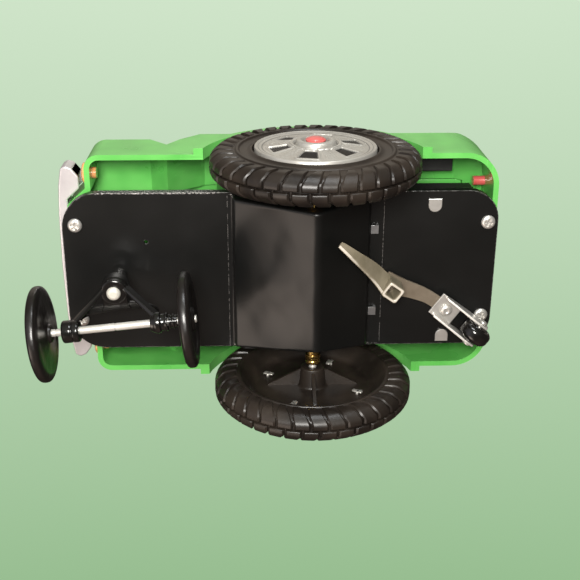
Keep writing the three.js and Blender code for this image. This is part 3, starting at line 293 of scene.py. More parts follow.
def buildWear(tree, given, out):
    # where the rounded normal leaves the true one, broken up by noise
    soft = tree.nodes.new("ShaderNodeBevel")
    soft.samples = 4
    put(tree, soft.inputs["Radius"], given["Radius"])
    true = tree.nodes.new("ShaderNodeNewGeometry").outputs["Normal"]
    node = tree.nodes.new("ShaderNodeVectorMath")
    node.operation = "DOT_PRODUCT"
    put(tree, node.inputs[0], soft.outputs[0])
    put(tree, node.inputs[1], true)
    edge = calc(tree, "SUBTRACT", 1.0, node.outputs["Value"])
    patch = spread(tree, noiseIn(tree, given["Breakup"], 4.0), 0.42, 0.62)
    worn = calc(tree, "MULTIPLY", calc(tree, "MULTIPLY", edge, patch), given["Amount"], clamp=True)
    put(tree, out["Mask"], worn)


def buildDust(tree, given, out):
    # settles in patches, thicker on faces that look up
    normal = tree.nodes.new("ShaderNodeNewGeometry").outputs["Normal"]
    up = calc(tree, "ADD", calc(tree, "MULTIPLY", dotWith(tree, normal, (0, 0, 1)), 0.35), 0.65)
    patch = spread(tree, noiseIn(tree, given["Scale"], 6.0, roughness=0.7), 0.48, 0.75)
    settled = calc(tree, "MULTIPLY", patch, up)
    put(tree, out["Mask"], calc(tree, "MULTIPLY", settled, given["Amount"], clamp=True))


def buildScuffs(tree, given, out):
    # hairline marks in two directions
    lines = []
    for stretch in ((0.25, 9.0, 1.0), (7.0, 0.3, 1.2)):
        drawn = noiseIn(tree, given["Scale"], 0.0, stretch)
        near = calc(tree, "ABSOLUTE", calc(tree, "SUBTRACT", drawn, 0.5))
        lines.append(calc(tree, "SUBTRACT", 1.0, spread(tree, near, 0.0, 0.012)))
    patch = spread(tree, noiseIn(tree, 60.0, 2.0), 0.52, 0.66)
    both = calc(tree, "MULTIPLY", calc(tree, "MAXIMUM", *lines), patch)
    put(tree, out["Mask"], calc(tree, "MULTIPLY", both, given["Amount"], clamp=True))


effects = {
    title: effect(title, inputs, outputs, build)
    for title, inputs, outputs, build in (
        ("grain", [("Broad", 60.0), ("Fine", 1500.0)], ["Tone", "Peel"], buildGrain),
        ("edge_wear", [("Radius", 0.0004), ("Breakup", 400.0), ("Amount", 4.0)], ["Mask"], buildWear),
        ("dust", [("Scale", 90.0), ("Amount", 0.2)], ["Mask"], buildDust),
        ("scuffs", [("Scale", 70.0), ("Amount", 0.3)], ["Mask"], buildScuffs),
    )
}


def useEffect(tree, name, **values):
    node = tree.nodes.new("ShaderNodeGroup")
    node.node_tree = effects[name]
    for title, value in values.items():
        put(tree, node.inputs[title], value)
    return node.outputs


# finishes
def startFinish(name, **settings):
    material = bpy.data.materials.new(name)
    material.use_nodes = True
    tree = material.node_tree
    shader = tree.nodes["Principled BSDF"]
    for title, value in settings.items():
        shader.inputs[title].default_value = value
    return material, tree, shader


def bumped(tree, shader, height, strength, distance):
    bump = tree.nodes.new("ShaderNodeBump")
    bump.inputs["Strength"].default_value = strength
    bump.inputs["Distance"].default_value = distance
    put(tree, bump.inputs["Height"], height)
    put(tree, shader.inputs["Normal"], bump.outputs[0])


def rough(tree, shader, value, low, high):
    node = tree.nodes.new("ShaderNodeMapRange")
    put(tree, node.inputs["Value"], value)
    node.inputs["To Min"].default_value = low
    node.inputs["To Max"].default_value = high
    put(tree, shader.inputs["Roughness"], node.outputs[0])


plastics = {
    # two tones that drift into each other, the roughness between them, the tone of the dust, and the
    # amounts of clear coat, orange peel, dust and hairline scuffs
    "green_plastic": {
        "dark": (0.105, 0.47, 0.085, 1), "light": (0.155, 0.58, 0.120, 1), "gloss": (0.18, 0.42),
        "dustTone": (0.45, 0.52, 0.30, 1), "coat": 0.35, "peel": 0.10, "dust": 0.10, "scuff": 0.25,
    },
    "tyre_plastic": {
        "dark": (0.0120, 0.0090, 0.0072, 1), "light": (0.027, 0.020, 0.015, 1), "gloss": (0.28, 0.50),
        "dustTone": (0.16, 0.13, 0.10, 1), "coat": 0.0, "peel": 0.35, "dust": 0.16, "scuff": 0.05,
    },
    "gloss_black_plastic": {
        "dark": (0.0060, 0.0055, 0.0052, 1), "light": (0.010, 0.009, 0.0085, 1), "gloss": (0.10, 0.24),
        "dustTone": (0.10, 0.09, 0.08, 1), "coat": 0.5, "peel": 0.10, "dust": 0.04, "scuff": 0.06,
    },
    "black_plastic": {
        "dark": (0.010, 0.010, 0.010, 1), "light": (0.020, 0.020, 0.019, 1), "gloss": (0.32, 0.55),
        "dustTone": (0.14, 0.13, 0.11, 1), "coat": 0.0, "peel": 0.30, "dust": 0.08, "scuff": 0.05,
    },
    "red_plastic": {
        "dark": (0.60, 0.090, 0.085, 1), "light": (0.74, 0.150, 0.140, 1), "gloss": (0.20, 0.38),
        "dustTone": (0.75, 0.45, 0.40, 1), "coat": 0.5, "peel": 0.08, "dust": 0.10, "scuff": 0.1,
    },
    "nylon": {
        "dark": (0.66, 0.63, 0.55, 1), "light": (0.80, 0.78, 0.71, 1), "gloss": (0.38, 0.60),
        "dustTone": (0.30, 0.26, 0.18, 1), "coat": 0.0, "peel": 0.12, "dust": 0.10, "scuff": 0.0,
    },
}


def plasticFinish(name, dark, light, gloss, dustTone, coat, peel, dust, scuff):
    material, tree, shader = startFinish(name, **{"Coat Weight": coat, "Coat Roughness": 0.08, "IOR": 1.5})
    grain = useEffect(tree, "grain", Broad=45.0, Fine=900.0)
    tone = mixColour(tree, spread(tree, grain["Tone"], 0.35, 0.65), dark, light)
    marks = useEffect(tree, "scuffs", Scale=60.0, Amount=scuff)["Mask"]
    tone = mixColour(tree, marks, tone, tuple(min(1, c * 1.6 + 0.05) for c in light[:3]) + (1,))
    dirt = useEffect(tree, "dust", Scale=110.0, Amount=dust)["Mask"]
    put(tree, shader.inputs["Base Color"], mixColour(tree, dirt, tone, dustTone))
    rough(tree, shader, calc(tree, "ADD", grain["Tone"], dirt), *gloss)
    bumped(tree, shader, grain["Peel"], peel, 0.0001)
    return material


chipsAndGlintLip = {
    # metres in the vehicle's frame: where the chips and painted glints start to show and where they show in
    # full
    "y": (0.0331, 0.0336),
    "rear": (0.018, 0.026),
    "front": (0.075, 0.068),
}


def blackEnamel():
    # glossy stoved paint on sheet steel, rubbed through to bright metal along its edges
    material, tree, shader = startFinish("black_enamel", **{"IOR": 1.45})
    grain = useEffect(tree, "grain", Broad=35.0, Fine=420.0)
    worn = useEffect(tree, "edge_wear", Radius=0.00045, Breakup=900.0, Amount=9.0)["Mask"]
    specks = spread(tree, noiseIn(tree, 700.0, 5.0, roughness=0.7), 0.78, 0.82)
    # the lip along the left edge is chipped bright from the front to the middle, with painted glints where it
    # faces the lamps
    place = tree.nodes.new("ShaderNodeSeparateXYZ")
    put(tree, place.inputs[0], tree.nodes.new("ShaderNodeTexCoord").outputs["Object"])
    edge = spread(tree, place.outputs["Y"], *chipsAndGlintLip["y"])
    front = spread(tree, place.outputs["X"], *chipsAndGlintLip["rear"])
    ahead = spread(tree, place.outputs["X"], *chipsAndGlintLip["front"])
    chipsAndGlints = spread(tree, noiseIn(tree, 1300.0, 3.0, roughness=0.7), 0.50, 0.60)
    chipsAndGlints = calc(tree, "MULTIPLY", calc(tree, "MULTIPLY", edge, front), calc(tree, "MULTIPLY", chipsAndGlints, ahead))
    # bright where the enamel is worn or chipped, and where the lip carries its painted glints
    bareMetalAndGlint = calc(tree, "MAXIMUM", calc(tree, "MAXIMUM", worn, chipsAndGlints), calc(tree, "MULTIPLY", specks, 0.25))
    paint = mixColour(tree, grain["Tone"], (0.0042, 0.0046, 0.0044, 1), (0.0068, 0.0066, 0.0062, 1))
    put(tree, shader.inputs["Base Color"], mixColour(tree, bareMetalAndGlint, paint, (0.62, 0.60, 0.58, 1)))
    put(tree, shader.inputs["Metallic"], calc(tree, "MULTIPLY", worn, 0.9))
    rough(tree, shader, grain["Tone"], 0.26, 0.40)
    bumped(tree, shader, grain["Peel"], 0.10, 0.0002)
    return material


metals = {
    # two tones, the roughness between them, how metallic, the scale and stretch of the drawn grain, its
    # height, and the amount and tone of the tarnish
    "plated_trim": {
        "dark": (0.60, 0.56, 0.58, 1), "light": (0.82, 0.78, 0.79, 1), "gloss": (0.30, 0.46),
        "metallic": 0.45, "grainScale": 700.0, "peel": 0.10, "tarnishTone": (0.40, 0.33, 0.30, 1),
    },
    "dull_nickel": {
        "dark": (0.66, 0.63, 0.54, 1), "light": (0.88, 0.86, 0.78, 1), "gloss": (0.40, 0.55),
        "metallic": 0.35, "tarnish": 0.35,
    },
    # the lever's tail: the lever's steel in painted shade, olive brown where lever_steel paints faces looking
    # down cream, with its tarnish
    "lever_dull": {
        "dark": (0.15, 0.12, 0.085, 1), "light": (0.30, 0.25, 0.19, 1), "gloss": (0.34, 0.52),
        "metallic": 0.4, "grainScale": 900.0, "peel": 0.30, "tarnish": 0.40,
        "tarnishTone": (0.07, 0.05, 0.03, 1),
    },
    "nickel_steel": {
        "dark": (0.62, 0.60, 0.56, 1), "light": (0.86, 0.84, 0.80, 1), "gloss": (0.30, 0.48),
        "metallic": 0.75, "tarnish": 0.3,
    },
    "axle_steel": {
        "dark": (0.70, 0.67, 0.61, 1), "light": (0.92, 0.90, 0.85, 1), "gloss": (0.28, 0.44),
        "metallic": 0.5, "stretch": (6.0, 1.0, 1.0), "tarnish": 0.3,
    },
    "zinc_steel": {
        "dark": (0.42, 0.43, 0.44, 1), "light": (0.62, 0.63, 0.64, 1), "gloss": (0.30, 0.52),
        "tarnish": 0.25,
    },
    "brass": {
        "dark": (0.60, 0.36, 0.10, 1), "light": (0.86, 0.58, 0.20, 1), "gloss": (0.18, 0.38),
        "tarnish": 0.35, "tarnishTone": (0.22, 0.10, 0.03, 1),
    },
}
commonMetal = {
    "metallic": 1.0, "grainScale": 1200.0, "stretch": (1.0, 1.0, 1.0), "peel": 0.12, "tarnish": 0.2,
    "tarnishTone": (0.20, 0.16, 0.11, 1),
}


def metalFinish(name, dark, light, gloss, metallic, grainScale, stretch, peel, tarnish, tarnishTone):
    material, tree, shader = startFinish(name, **{"Metallic": metallic})
    grain = useEffect(tree, "grain", Broad=160.0, Fine=grainScale)
    drawn = noiseIn(tree, grainScale, 3.0, stretch)
    tone = mixColour(tree, grain["Tone"], dark, light)
    stain = useEffect(tree, "dust", Scale=220.0, Amount=tarnish)["Mask"]
    put(tree, shader.inputs["Base Color"], mixColour(tree, stain, tone, tarnishTone))
    rough(tree, shader, calc(tree, "ADD", calc(tree, "MULTIPLY", drawn, 0.7), stain), *gloss)
    bumped(tree, shader, drawn, peel, 0.00005)
    return material


def chrome():
    # bright film on plastic, dulled by age; the "recess" attribute marks the hubcaps' black hollows and the
    # painted shade of their grooves
    material, tree, shader = startFinish("chrome")
    grain = useEffect(tree, "grain", Broad=120.0, Fine=1600.0)
    film = mixColour(tree, grain["Tone"], (0.50, 0.48, 0.44, 1), (0.70, 0.68, 0.63, 1))
    dirt = useEffect(tree, "dust", Scale=180.0, Amount=0.35)["Mask"]
    film = mixColour(tree, dirt, film, (0.26, 0.22, 0.17, 1))
    recess = tree.nodes.new("ShaderNodeAttribute")
    recess.attribute_name = "recess"
    film = mixColour(tree, recess.outputs["Fac"], film, (0.014, 0.012, 0.011, 1))
    put(tree, shader.inputs["Base Color"], film)
    bright = calc(tree, "SUBTRACT", 1.0, recess.outputs["Fac"], clamp=True)
    put(tree, shader.inputs["Metallic"], calc(tree, "MULTIPLY", bright, 0.62))
    rough(tree, shader, calc(tree, "ADD", calc(tree, "MULTIPLY", grain["Tone"], 0.5), dirt), 0.34, 0.52)
    bumped(tree, shader, grain["Peel"], 0.10, 0.00004)
    return material


def leverSteel():
    # worn steel with painted light: cream where it faces down, a painted highlight; olive brown and dull on
    # its upright sides, painted shade
    material, tree, shader = startFinish("lever_steel")
    grain = useEffect(tree, "grain", Broad=200.0, Fine=1100.0)
    normal = tree.nodes.new("ShaderNodeNewGeometry").outputs["Normal"]
    upright = calc(tree, "ABSOLUTE", dotWith(tree, normal, (0, 0, 1)))
    # painted light: the cream highlight tone grows as a face turns to look straight down, upright faces take
    # the olive painted shade tone
    paintedLitShare = spread(tree, calc(tree, "ADD", upright, calc(tree, "MULTIPLY", grain["Tone"], 0.1)), 0.93, 1.03)
    bright = mixColour(tree, grain["Tone"], (0.66, 0.60, 0.50, 1), (0.90, 0.85, 0.76, 1))
    paintedShadeTone = mixColour(tree, grain["Tone"], (0.16, 0.14, 0.09, 1), (0.30, 0.26, 0.19, 1))
    stain = useEffect(tree, "dust", Scale=260.0, Amount=0.35)["Mask"]
    tone = mixColour(tree, stain, mixColour(tree, paintedLitShare, paintedShadeTone, bright), (0.22, 0.17, 0.12, 1))
    put(tree, shader.inputs["Base Color"], tone)
    put(tree, shader.inputs["Metallic"], calc(tree, "MULTIPLY", paintedLitShare, 0.45))
    rough(tree, shader, calc(tree, "ADD", grain["Tone"], stain), 0.38, 0.60)
    bumped(tree, shader, grain["Peel"], 0.25, 0.00008)
    return material


def wheelGloss():
    # shiny black moulding with shallow waves, brown in its lower tones
    material, tree, shader = startFinish("wheel_gloss", **{"Coat Weight": 0.25, "Coat Roughness": 0.2})
    grain = useEffect(tree, "grain", Broad=80.0, Fine=1000.0)
    dirt = useEffect(tree, "dust", Scale=120.0, Amount=0.08)["Mask"]
    tone = mixColour(tree, grain["Tone"], (0.0060, 0.0050, 0.0046, 1), (0.012, 0.0095, 0.0085, 1))
    put(tree, shader.inputs["Base Color"], mixColour(tree, dirt, tone, (0.10, 0.08, 0.07, 1)))
    rough(tree, shader, calc(tree, "ADD", grain["Tone"], dirt), 0.28, 0.42)
    waves = noiseIn(tree, 260.0, 1.0)
    bumped(tree, shader, waves, 0.22, 0.0012)
    return material


def clearFinish(name, dark, light, gloss, broad, fine, peel, **settings):
    # coloured or smoked lens plastic under a clear coat
    material, tree, shader = startFinish(name, **settings)
    grain = useEffect(tree, "grain", Broad=broad, Fine=fine)
    put(tree, shader.inputs["Base Color"], mixColour(tree, grain["Tone"], dark, light))
    rough(tree, shader, grain["Tone"], *gloss)
    bumped(tree, shader, grain["Peel"], peel[0], peel[1])
    return material


def amberLens():
    return clearFinish(
        "amber_lens", (0.72, 0.28, 0.10, 1), (0.90, 0.46, 0.20, 1), (0.12, 0.26), 150.0, 900.0,
        (0.08, 0.0001),
        **{"Coat Weight": 0.6, "Coat Roughness": 0.05, "Subsurface Weight": 0.35, "Subsurface Scale": 0.002},
    )


def smokeGlazing():
    return clearFinish(
        "smoke_glazing", (0.012, 0.018, 0.018, 1), (0.022, 0.030, 0.030, 1), (0.06, 0.16), 50.0, 700.0,
        (0.04, 0.0002), **{"Coat Weight": 0.8, "Coat Roughness": 0.03},
    )


def cellJacket():
    # printed sleeve: a plain band round the middle of each cell
    material, tree, shader = startFinish("cell_jacket", **{"Coat Weight": 0.6, "Coat Roughness": 0.1})
    place = tree.nodes.new("ShaderNodeSeparateXYZ")
    put(tree, place.inputs[0], tree.nodes.new("ShaderNodeTexCoord").outputs["Object"])
    band = spread(tree, calc(tree, "ABSOLUTE", place.outputs["Y"]), 0.0135, 0.0140)
    grain = useEffect(tree, "grain", Broad=90.0, Fine=900.0)
    sleeve = mixColour(tree, band, (0.05, 0.13, 0.34, 1), (0.62, 0.60, 0.56, 1))
    faded = calc(tree, "MULTIPLY", grain["Tone"], 0.2)
    put(tree, shader.inputs["Base Color"], mixColour(tree, faded, sleeve, (0.02, 0.04, 0.1, 1)))
    rough(tree, shader, grain["Tone"], 0.22, 0.38)
    return material


finishes = {name: plasticFinish(name, **look) for name, look in plastics.items()}
finishes.update({name: metalFinish(name, **{**commonMetal, **look}) for name, look in metals.items()})
finishes.update({
    "black_enamel": blackEnamel(),
    "chrome": chrome(),
    "lever_steel": leverSteel(),
    "wheel_gloss": wheelGloss(),
    "amber_lens": amberLens(),
    "smoke_glazing": smokeGlazing(),
    "cell_jacket": cellJacket(),
})
print("finishes made,", len(finishes))


# mesh helpers
def gridFaces(rows, cols, closeRows=False, closeCols=False, offset=0):
    # quads between neighbouring points of a rows by cols grid
    a, b = np.meshgrid(
        np.arange(rows if closeRows else rows - 1), np.arange(cols if closeCols else cols - 1), indexing="ij"
    )
    nextA, nextB = (a + 1) % rows, (b + 1) % cols
    quads = np.stack([a * cols + b, nextA * cols + b, nextA * cols + nextB, a * cols + nextB], -1)
    return quads.reshape(-1, 4) + offset


def gridPart(points, closeRows=False, closeCols=False):
    # a part is its points, its faces and the number of its finish
    rows, cols = points.shape[:2]
    return points.reshape(-1, 3), gridFaces(rows, cols, closeRows, closeCols).tolist(), 0


def tubePart(loops):
    # loops is an array of closed rings; the first and last ring are capped
    rows, cols = loops.shape[:2]
    faces = gridFaces(rows, cols, False, True).tolist()
    faces += [list(range(cols)), list(range((rows - 1) * cols, rows * cols))]
    return loops.reshape(-1, 3), faces, 0


def roundCorners(points, radius, steps, closed=True):
    # each corner of the outline becomes a parabola arc that starts and ends `radius` away from it
    points = np.array(points, float)
    before, after = np.roll(points, 1, 0), np.roll(points, -1, 0)
    radius = np.broadcast_to(radius, len(points)).astype(float).copy()
    if not closed:
        radius[[0, -1]] = 0
    back, ahead = before - points, after - points
    backLength = np.maximum(np.linalg.norm(back, axis=1), 1e-9)
    aheadLength = np.maximum(np.linalg.norm(ahead, axis=1), 1e-9)
    a = points + back / backLength[:, None] * np.minimum(radius, 0.47 * backLength)[:, None]
    b = points + ahead / aheadLength[:, None] * np.minimum(radius, 0.47 * aheadLength)[:, None]
    t = np.linspace(0, 1, steps)[None, :, None]
    arcs = (1 - t) ** 2 * a[:, None] + 2 * t * (1 - t) * points[:, None] + t**2 * b[:, None]
    return arcs.reshape(-1, points.shape[1])


def eased(corners, steps, closed=True):
    # rounds an outline given as (x, y, easing) rows
    corners = np.array(corners, float)
    return roundCorners(corners[:, :2], corners[:, 2], steps, closed)


def revolve(profile, segments, closed=True, centre=(0.0, 0.0), axis="y"):
    # profile of (radius, along) points turned round an axis parallel to Y or Z through `centre`
    profile = np.array(profile, float)
    turn = np.linspace(0, 2 * np.pi, segments, endpoint=False)
    c, s = np.cos(turn)[None, :], np.sin(turn)[None, :]
    radius, along = profile[:, :1], np.broadcast_to(profile[:, 1:], (len(profile), segments))
    first, second = centre[0] + radius * c, centre[1] + radius * s
    order = (first, along, second) if axis == "y" else (first, second, along)
    return gridPart(np.stack(order, -1), closed, True)


def slabPart(outline, low, high, chamfer):
    # flat plate from a closed 2D outline, in local x and y, its two rims eased by `chamfer`
    outline = np.array(outline, float)
    middle = (outline.max(0) + outline.min(0)) / 2
    half = (outline.max(0) - outline.min(0)) / 2
    inner = middle + (outline - middle) * (1 - chamfer / half)
    ends = [(inner, low), (outline, low + chamfer), (outline, high - chamfer), (inner, high)]
    loops = np.stack([np.column_stack([ring, np.full(len(ring), z)]) for ring, z in ends])
    return tubePart(loops)


def moved(part, move):
    return (move(np.array(part[0], float)), part[1], part[2])


def turned(degrees, axis="z", place=(0, 0, 0)):
    # a function that turns points about an axis through the origin and then shifts them
    turn = np.array(Matrix.Rotation(math.radians(degrees), 3, axis.upper()))
    return lambda points: points @ turn.T + np.array(place, float)


def ridingOn(node):
    return frame["nodes"][node]["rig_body"]


slotOf = {row["node"]: row["material_slot"] for row in frame["record"]["subparts"]}


def settle(name, mesh, slot, body, nodes, finish):
    piece = bpy.data.objects.new(name, mesh)
    bpy.context.scene.collection.objects.link(piece)
    mesh.materials.append(finishes[finish or slot])
    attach(piece, body)
    if nodes:
        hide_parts(*nodes)
    return piece


def cleanMesh(name, points, faces, picks, sharp, weld, flat=0.0):
    # welds, drops what collapsed, turns every face outwards and marks the sharp edges
    mesh = bpy.data.meshes.new(name)
    mesh.from_pydata(points.tolist(), [], faces)
    mesh.polygons.foreach_set("material_index", picks)
    work = bmesh.new()
    work.from_mesh(mesh)
    bmesh.ops.remove_doubles(work, verts=work.verts, dist=weld)
    if flat:
        bmesh.ops.dissolve_limit(work, angle_limit=math.radians(flat), verts=work.verts, edges=work.edges)
    bmesh.ops.recalc_face_normals(work, faces=work.faces)
    work.to_mesh(mesh)
    work.free()
    mesh.polygons.foreach_set("use_smooth", np.ones(len(mesh.polygons), bool))
    mesh.set_sharp_from_angle(angle=math.radians(sharp))
    mesh.update()
    return mesh


def makePiece(name, parts, slot, body, nodes=(), sharp=35.0, toRow=None, finish=None):
    # the parts' points are in mm from the axle, or in a body's own frame that toRow turns into that
    sizes = np.cumsum([0] + [len(part[0]) for part in parts])
    points = np.concatenate([part[0] for part in parts])
    if toRow:
        points = toRow(points)
    faces = [[i + start for i in face] for part, start in zip(parts, sizes) for face in part[1]]
    picks = np.concatenate([np.full(len(part[1]), part[2]) for part in parts]).astype(np.int32)
    mesh = cleanMesh(name, points * mm + axle, faces, picks, sharp, 1e-6)
    return settle(name, mesh, slot, body, nodes, finish)


def pieceFor(node, suffix, parts, **more):
    # the piece that stands for one CAD node, on that node's body and in its slot
    return makePiece(node + suffix, parts, slotOf[node], ridingOn(node), [node], **more)


def dressedCopy(node, width=0.3, steps=2, angle=32.0, sharp=32.0, finish=None, flat=0.4):
    # a welded copy of a CAD node with whole flat faces and softened edges, which stands for it
    source = frame["nodes"][node].data
    corners = np.zeros(len(source.vertices) * 3)
    source.vertices.foreach_get("co", corners)
    faces = [list(face.vertices) for face in source.polygons]
    picks = np.zeros(len(faces), np.int32)
    name = node + "_shaped"
    mesh = cleanMesh(name, corners.reshape(-1, 3), faces, picks, sharp, 2e-6, flat)
    piece = settle(name, mesh, slotOf[node], ridingOn(node), [node], finish)
    bevel = piece.modifiers.new("soft_edges", "BEVEL")
    bevel.width = width * mm
    bevel.segments = steps
    bevel.limit_method = "ANGLE"
    bevel.angle_limit = math.radians(angle)
    bevel.miter_outer = "MITER_ARC"
    even = piece.modifiers.new("even_shading", "WEIGHTED_NORMAL")
    even.keep_sharp = True
    even.weight = 100


def span(node):
    # a node's box, in mm from the axle
    low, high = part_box(node)
    return (np.array(low) - axle) / mm, (np.array(high) - axle) / mm


# drive wheels
driveWheel = {
    "segments": 144,
    "lugs": 36,
    "lugDepth": 1.7,
    "lugStart": 31.4,  # radius where the sidewall bars begin
    "lugShare": 0.445,  # half a lug's width as a share of the pitch
    "skew": 5.0,  # degrees that a bar leans between its start and the shoulder
    "stagger": 0.45,  # how far the tread blocks stop short of the middle
    "ring": 29.6,  # raised ring round the hubcap
    "dishFloor": 25.0,
    "dishRim": 30.5,
    "dishDepth": 7.0,
    "boss": 4.9,
    "finReach": 19.0,
    "finHalf": 0.7,
    "capSeat": 24.4,
    "bore": 1.8,
}


def carcassProfile(inner, outer, bossEnd, radius):
    # closed (radius, along) outline: boss, dish, inner sidewall, tread root, outer sidewall, cap seat
    w = driveWheel
    root = radius - w["lugDepth"]
    web = inner + w["dishDepth"]
    corners = [
        (w["bore"], bossEnd, 0.1),
        (w["boss"], bossEnd, 0.5),
        (w["boss"] + 0.9, web, 1.2),
        (w["dishFloor"], web, 1.6),
        (w["dishRim"], inner + 0.1, 0.9),
        (w["dishRim"] + 1.4, inner + 0.1, 0.3),
        (w["dishRim"] + 1.6, inner + 0.6, 0.3),
        (root - 2.4, inner + 1.0, 1.4),
        (root, inner + 3.0, 1.4),
        (root, outer - 3.0, 1.4),
        (root - 2.4, outer - 1.0, 1.4),
        (w["ring"] + 1.5, outer - 0.6, 0.5),
        (w["ring"] + 1.1, outer - 0.05, 0.35),
        (w["ring"] + 0.2, outer - 0.05, 0.35),
        (w["ring"] - 0.3, outer - 0.8, 0.5),
        (w["capSeat"] + 2.2, outer - 1.1, 1.6),
        (w["capSeat"] + 0.5, outer - 0.1, 0.4),
        (w["capSeat"], outer - 0.2, 0.3),
        (w["capSeat"], outer - 2.6, 0.2),
        (w["bore"], outer - 2.6, 0.1),
    ]
    return eased(corners, 5)


def lugParts(inner, outer, radius, outward, phase):
    # one bar on each sidewall pitch, over the shoulder and along the tread to near the middle:
    # a rounded section carried along the (radius, along) line, its angle leaning with the distance
    w = driveWheel
    middle = (inner + outer) / 2
    face = outer if outward else inner
    side = 1 if outward else -1
    top = roundCorners(
        [
            (w["lugStart"], face - side * 0.75),
            (w["lugStart"] + 1.0, face - side * 0.15),
            (radius - 3.6, face),
            (radius, face - side * 3.2),
            (radius, middle + side * w["stagger"]),
            (radius - 2.4, middle + side * (w["stagger"] - 0.3)),
        ],
        [0, 0.8, 1.6, 2.2, 0.5, 0],
        4,
        closed=False,
    )
    keep = np.r_[0, 4:len(top) - 3, len(top) - 1]
    top = top[keep]
    root = radius - w["lugDepth"] - 0.6
    low = np.column_stack([np.minimum(top[:, 0] - 0.2, root), top[:, 1] - side * 1.7])
    low[:, 1] = np.where(top[:, 0] > radius - 1.2, top[:, 1], low[:, 1])
    travel = np.concatenate([[0], np.cumsum(np.linalg.norm(np.diff(top, axis=0), axis=1))])
    lean = np.radians(w["skew"]) * np.minimum(travel / travel[len(top) // 2], 1.25)
    pitch = 2 * np.pi / w["lugs"]
    section = np.array([(-1.0, 0.0), (-1.0, 0.72), (-0.80, 1.0), (0.80, 1.0), (1.0, 0.72), (1.0, 0.0)])
    depth = section[None, :, 1:]
    ring = low[:, None] + depth * (top - low)[:, None]
    half = pitch * w["lugShare"] * (0.62 + 0.38 * smooth(2.0, 8.5, travel))
    angle = lean[:, None] + half[:, None] * section[None, :, 0]
    turn = (np.arange(w["lugs"]) + phase) * pitch - np.pi / 2
    angle = angle[None] + turn[:, None, None]
    r, along = ring[None, ..., 0], np.broadcast_to(ring[None, ..., 1], angle.shape)
    lugs = np.stack([r * np.cos(angle), along, r * np.sin(angle)], -1)
    return [tubePart(lug) for lug in lugs]


def finParts(inner, bossEnd):
    w = driveWheel
    web = inner + w["dishDepth"] + 0.3
    outline = roundCorners(
        [
            (1.0, bossEnd + 1.0), (w["boss"] + 0.4, bossEnd + 1.0), (w["finReach"], web - 0.6),
            (w["finReach"], web), (1.0, web),
        ],
        [0.2, 1.2, 0.6, 0.1, 0.1],
        4,
    )
    plate = slabPart(outline, -w["finHalf"], w["finHalf"], 0.22)
    return [moved(plate, turned(turn, "y")) for turn in (0, 90, 180, 270)]


def makeDriveWheel(name, side):
    node = "drive_wheel_" + name
    low, high = span(node)
    radius = high[2]
    outer = max(abs(low[1]), abs(high[1]))
    bossEnd = min(abs(low[1]), abs(high[1]))
    inner = bossEnd + 1.6  # the boss stands this far out of the tyre's inner face
    parts = [revolve(carcassProfile(inner, outer, bossEnd, radius), driveWheel["segments"])]
    parts += finParts(inner, bossEnd)
    parts += lugParts(inner, outer, radius, True, 0.0)
    parts += lugParts(inner, outer, radius, False, 0.5)
    toSide = (lambda points: points) if side > 0 else turned(180, "z")
    pieceFor(node, "_tyre", parts, toRow=toSide)


# hubcaps
hubcap = {
    "rings": 150,
    "segments": 420,
    "rim": 23.6,
    "windows": 6,
    "firstWindow": -17.0,  # degrees about the axle
    "windowIn": 10.2,
    "windowOut": 18.6,
    "halfIn": 2.8,  # half a window's width at its inner and outer end
    "halfOut": 4.6,
    "frame": 0.50,  # half the width of a window's raised outline
    "frameHigh": 0.30,
    "windowDeep": 0.45,
    "ribs": 96,
    "ribHigh": 0.04,
    "ring": 6.4,
    "ringHalf": 1.45,
    "tabCircle": 20.3,
    "fold": (17.9, 22.3),  # the tabs are folded flat between these radii
    "tabs": (65, 155, 245, 335),
    "tabHalf": 1.3,
    "domeHigh": 1.75,  # of the red centre cap
    # radius and height of the cap's stepped cone
    "cone": (
        (0, 2.9), (6.4, 2.9), (9.6, 3.1), (20.2, 1.75), (20.8, 1.95), (21.6, 1.95), (21.9, 2.2),
        (22.5, 2.25), (22.8, 2.5), (23.3, 2.5),
    ),
    # radius, half width and strength of the dark lines round the centre ring and in the rim's steps: shallow
    # grooves painted dark as painted shade
    "grooves": ((8.25, 0.28, 1.0), (20.6, 0.25, 0.8), (22.1, 0.18, 0.7)),
}


def smooth(low, high, value):
    t = np.clip((value - low) / (high - low), 0, 1)
    return t * t * (3 - 2 * t)


